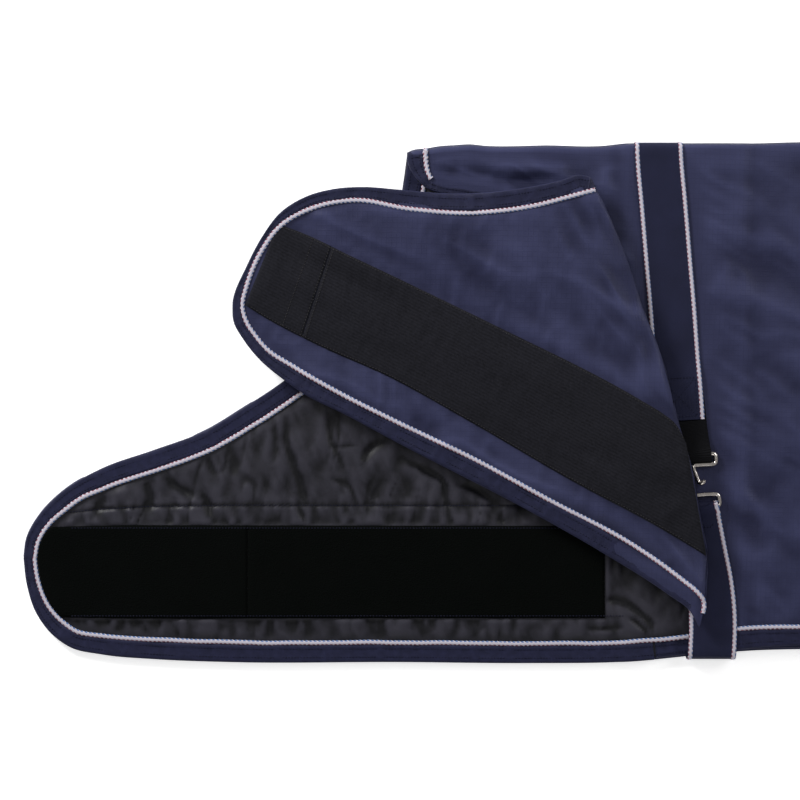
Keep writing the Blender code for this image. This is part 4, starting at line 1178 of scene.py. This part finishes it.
elastic_box = box_stitch((-127.8, 5.0), 36.0, 40.0, 17.9, 3.5)
ring_box = box_stitch((-110.8, -126.5), 36.0, 8.0, 18.45, 6.0)[:4]  # too short for diagonals
strap_rows = stitches("girth_strap_box_stitch", elastic_box + ring_box, thread)
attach(strap_rows, "rug")

# ---- Elastic tab -------------------------------------------------------------------------------
# 46 mm black woven elastic, doubled round the T hook's bar. Its ribs run across the pull and it is
# slightly gathered, because it is sewn unstretched.

HOOK_Z, HOOK_BAR = 18.4, np.array([-117.5, -54.6])
wrap = np.radians(np.linspace(-90, -270, 9))
elastic_path = curve([
    (-126.6, 20.0, 15.4), (-124.0, 0.0, 15.4), (-121.0, -28.0, 15.4), (-118.2, -48.0, 15.5),
    *[(-117.4, HOOK_BAR[1] + 8.0 * math.cos(a), HOOK_Z + 2.9 * math.sin(a)) for a in wrap],
    (-118.6, -48.0, 20.0), (-119.6, -41.0, 17.6), (-120.6, -34.0, 16.8), (-122.2, -20.0, 16.7),
], 1.2)


def elastic_weave(name):
    """Woven elastic: ribs 1.4 mm apart across its length, dull black."""
    made, tree, shader = material(name, Roughness=0.8, Specular_IOR_Level=0.1)
    along = node(tree, "ShaderNodeUVMap")
    parts = node(tree, "ShaderNodeSeparateXYZ", i0=along.outputs[0])
    rib = node(tree, "ShaderNodeMath", {"operation": "PINGPONG"}, i0=parts.outputs["X"], i1=0.0007)
    rise = node(tree, "ShaderNodeMath", {"operation": "DIVIDE"}, i0=rib.outputs[0], i1=0.0007)
    dye = node(tree, "ShaderNodeMix", {"data_type": "RGBA"},
               i0=rise.outputs[0], i6=linear("#08080a"), i7=linear("#17171b"))
    bump = node(tree, "ShaderNodeBump", Strength=0.7, Distance=0.0005, Height=rise.outputs[0])
    tree.links.new(dye.outputs[2], shader.inputs["Base Color"])
    tree.links.new(bump.outputs[0], shader.inputs["Normal"])
    return made


black_elastic = elastic_weave("black_woven_elastic")
elastic = flat_strap("elastic_loop", elastic_path, 46.0, 1.15, black_elastic, turn=3.0)
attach(elastic, "rug")
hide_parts("elastic_tab")

# ---- T hook and ring ---------------------------------------------------------------------------
# 4.6 mm steel wire, bent and bright nickel plated. The hook is one length: a loop through the elastic,
# then two legs side by side whose ends curl apart. The ring is a flat welded link in the strap's end.

WIRE_RADIUS = 2.3


def tube(name, path, radius, finish, closed=False, sides=20):
    """A round wire: a circle carried in the plane across the path, its ends domed unless it closes."""
    ahead = np.gradient(path, axis=0)
    if closed:
        ahead = np.roll(path, -1, 0) - np.roll(path, 1, 0)
    ahead /= np.linalg.norm(ahead, axis=1)[:, None]
    side = np.cross(ahead, [0, 0, 1.0])
    side /= np.linalg.norm(side, axis=1)[:, None]
    up = np.cross(side, ahead)
    turn = np.linspace(0, 2 * math.pi, sides, endpoint=False)
    ring = side[:, None] * np.cos(turn)[None, :, None] + up[:, None] * np.sin(turn)[None, :, None]
    grid = path[:, None] + ring * radius
    if closed:
        faces = grid_faces(len(grid) + 1, sides, ring=True) % (len(grid) * sides)
        return add_mesh(name, grid.reshape(-1, 3), faces, finish)
    domes = []
    for end, sign in ((0, -1), (-1, 1)):
        for lift, share in ((0.5, 0.87), (0.85, 0.53)):
            domes.append(path[end] + sign * ahead[end] * radius * lift + ring[end] * radius * share)
    grid = np.concatenate([[domes[1]], [domes[0]], grid, [domes[2]], [domes[3]]])
    count = len(grid)
    caps = [list(range(sides))[::-1], list(range((count - 1) * sides, count * sides))]
    return add_mesh(name, grid.reshape(-1, 3), grid_faces(count, sides, ring=True), finish, caps=caps)


def plating(name):
    """Bright nickel plate on steel: a warm mirror, with faint draw lines and a few dull spots."""
    made, tree, shader = material(name, Metallic=1.0, Base_Color=linear("#e2dad4"))
    place = node(tree, "ShaderNodeTexCoord").outputs["Object"]
    dull = node(tree, "ShaderNodeTexNoise", Vector=place, Scale=260.0, Detail=5.0)
    rough = node(tree, "ShaderNodeMapRange", Value=dull.outputs["Fac"], i1=0.35, i2=0.75, i3=0.14, i4=0.26)
    bump = node(tree, "ShaderNodeBump", Strength=0.02, Distance=0.0001, Height=dull.outputs["Fac"])
    tree.links.new(rough.outputs[0], shader.inputs["Roughness"])
    tree.links.new(bump.outputs[0], shader.inputs["Normal"])
    return made


nickel = plating("bright_nickel_plated_wire")


def placed(points, bar, degrees, z):
    """Points given beside a bar's middle, turned in plan and moved to it."""
    p = np.asarray(points, float)
    a = math.radians(degrees)
    c, s = math.cos(a), math.sin(a)
    turned = np.column_stack([p[:, 0] * c - p[:, 1] * s, p[:, 0] * s + p[:, 1] * c])
    return np.column_stack([turned + bar, p[:, 2] + z])


def link_corner(x, y, radius, start):
    """Seven points of a quarter circle about (x, y), clockwise from a start angle."""
    turn = np.radians(np.linspace(start, start - 90, 7))
    return [(x + radius * math.cos(a), y + radius * math.sin(a), 0.0) for a in turn]


def link_sides(half, low, high, radius):
    """A link's left side, going up, and its right side, going down, each through two round corners."""
    x, foot, top = half - radius, low + radius, high - radius
    left = link_corner(-x, foot, radius, 270) + link_corner(-x, top, radius, 180)
    right = link_corner(x, top, radius, 90) + link_corner(x, foot, radius, 0)
    return left, right


left_leg = [
    (-13.0, -28.4, 2.2), (-10.6, -29.8, 1.2), (-8.6, -28.6, 0.3), (-7.2, -25.0, 0.0), (-5.6, -20.0, 0.0),
    (-4.0, -15.0, 0.0), (-3.8, -12.4, 0.0), (-5.4, -11.1, 0.0), (-9.5, -10.9, 0.0), (-14.0, -10.9, 0.0),
]
right_leg = [(-u, v, w) for u, v, w in left_leg[::-1]]
left_side, right_side = link_sides(27.5, -10.9, 0.0, 3.2)
hook_points = left_leg + left_side + [(0.0, 0.0, 0.0)] + right_side + right_leg
hook_path = curve(placed(hook_points, HOOK_BAR, 4.0, HOOK_Z), 0.9)
hook = tube("bent_wire_hook", hook_path, WIRE_RADIUS, nickel)
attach(hook, "t_hook")
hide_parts("t_hook")

left_side, right_side = link_sides(28.0, 0.0, 12.5, 3.4)
ring_points = left_side + right_side + [(0.0, 0.0, 0.0)]
ring_path = curve(placed(ring_points + ring_points[:1], RING_BAR, 8.0, RING_Z), 0.9)[:-1]
ring = tube("welded_wire_ring", ring_path, WIRE_RADIUS, nickel, closed=True)
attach(ring, "strap_ring")
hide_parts("strap_ring")

# ---- Tail flap ---------------------------------------------------------------------------------
# A single layer of the shell cloth across the rear edge, bound all round and folded with the rug. It
# hangs over the tail when the rug is worn.

TAIL_LEFT, TAIL_RIGHT, TAIL_FOOT, TAIL_ROUND = 640.4, 810.3, 74.0, 60.0
round_y = TAIL_FOOT + TAIL_ROUND
turn = np.radians(np.linspace(-90, 0, 9))
corner_x = TAIL_RIGHT - TAIL_ROUND + TAIL_ROUND * np.cos(turn)
corner = np.column_stack([corner_x, round_y + TAIL_ROUND * np.sin(turn)])
outline = np.vstack([[(TAIL_LEFT, TAIL_FOOT)], corner, [(TAIL_RIGHT, SPINE_Y)]])
sides = []
for start, end in zip(outline, outline[1:]):
    count = max(2, int(np.linalg.norm(end - start) / CLOTH_GRID))
    sides.append(np.linspace(start, end, count, endpoint=False))
tail_edge = np.vstack([*sides, outline[-1:]])
tail_lower = tail_edge[tail_edge[:, 1] < round_y]
tail_upper = np.array([(TAIL_LEFT, SPINE_Y), (TAIL_RIGHT - 0.1, SPINE_Y)])
closer = TAIL_RIGHT - 0.1 - (TAIL_ROUND - 1) * np.linspace(1, 0, 20)[1:] ** 2
tail_xs = np.concatenate([np.linspace(TAIL_LEFT, 750, 28), closer])
turn = round_spine(6)
for place, z0, sign in (("near", NEAR_Z, 1), ("far", FAR_SHELL_Z, -1)):
    x, y = columns(tail_lower, tail_upper, tail_xs, 50)
    loose = smoothstep(distance(x, y, tail_edge), 15, 40) * (1 - smoothstep(y, 240, 262))
    z = z0 + 0.3 * noise(x, y, 30, 71) * loose
    radius = SPINE_R if sign > 0 else SPINE_R - SHELL_THICK
    tx = np.repeat(x[:, -1:], len(turn), 1)
    ty = SPINE_Y + radius * np.sin(turn) + 0 * tx
    tz = SPINE_Z + sign * radius * np.cos(turn) + 0 * tx
    grid = (np.hstack([x, tx]), np.hstack([y, ty]), np.hstack([z, tz]))
    sheet = cloth(f"tail_flap_{place}_cloth", *grid, SHELL_THICK, navy)
    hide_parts(f"tail_flap_{place}")
    level = np.full(len(tail_edge), z0)
    tape = binding(f"tail_flap_{place}_tape", tail_edge, level - 0.4, 1.3, TAPE_WIDTH)
    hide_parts(f"tail_flap_{place}_binding")
    row = np.column_stack([inside(tail_edge, 16.0), level + 0.95])
    seam = stitches(f"tail_flap_{place}_stitches", [row], thread)
    for piece in (sheet, tape, seam):
        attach(piece, "tail_flap")
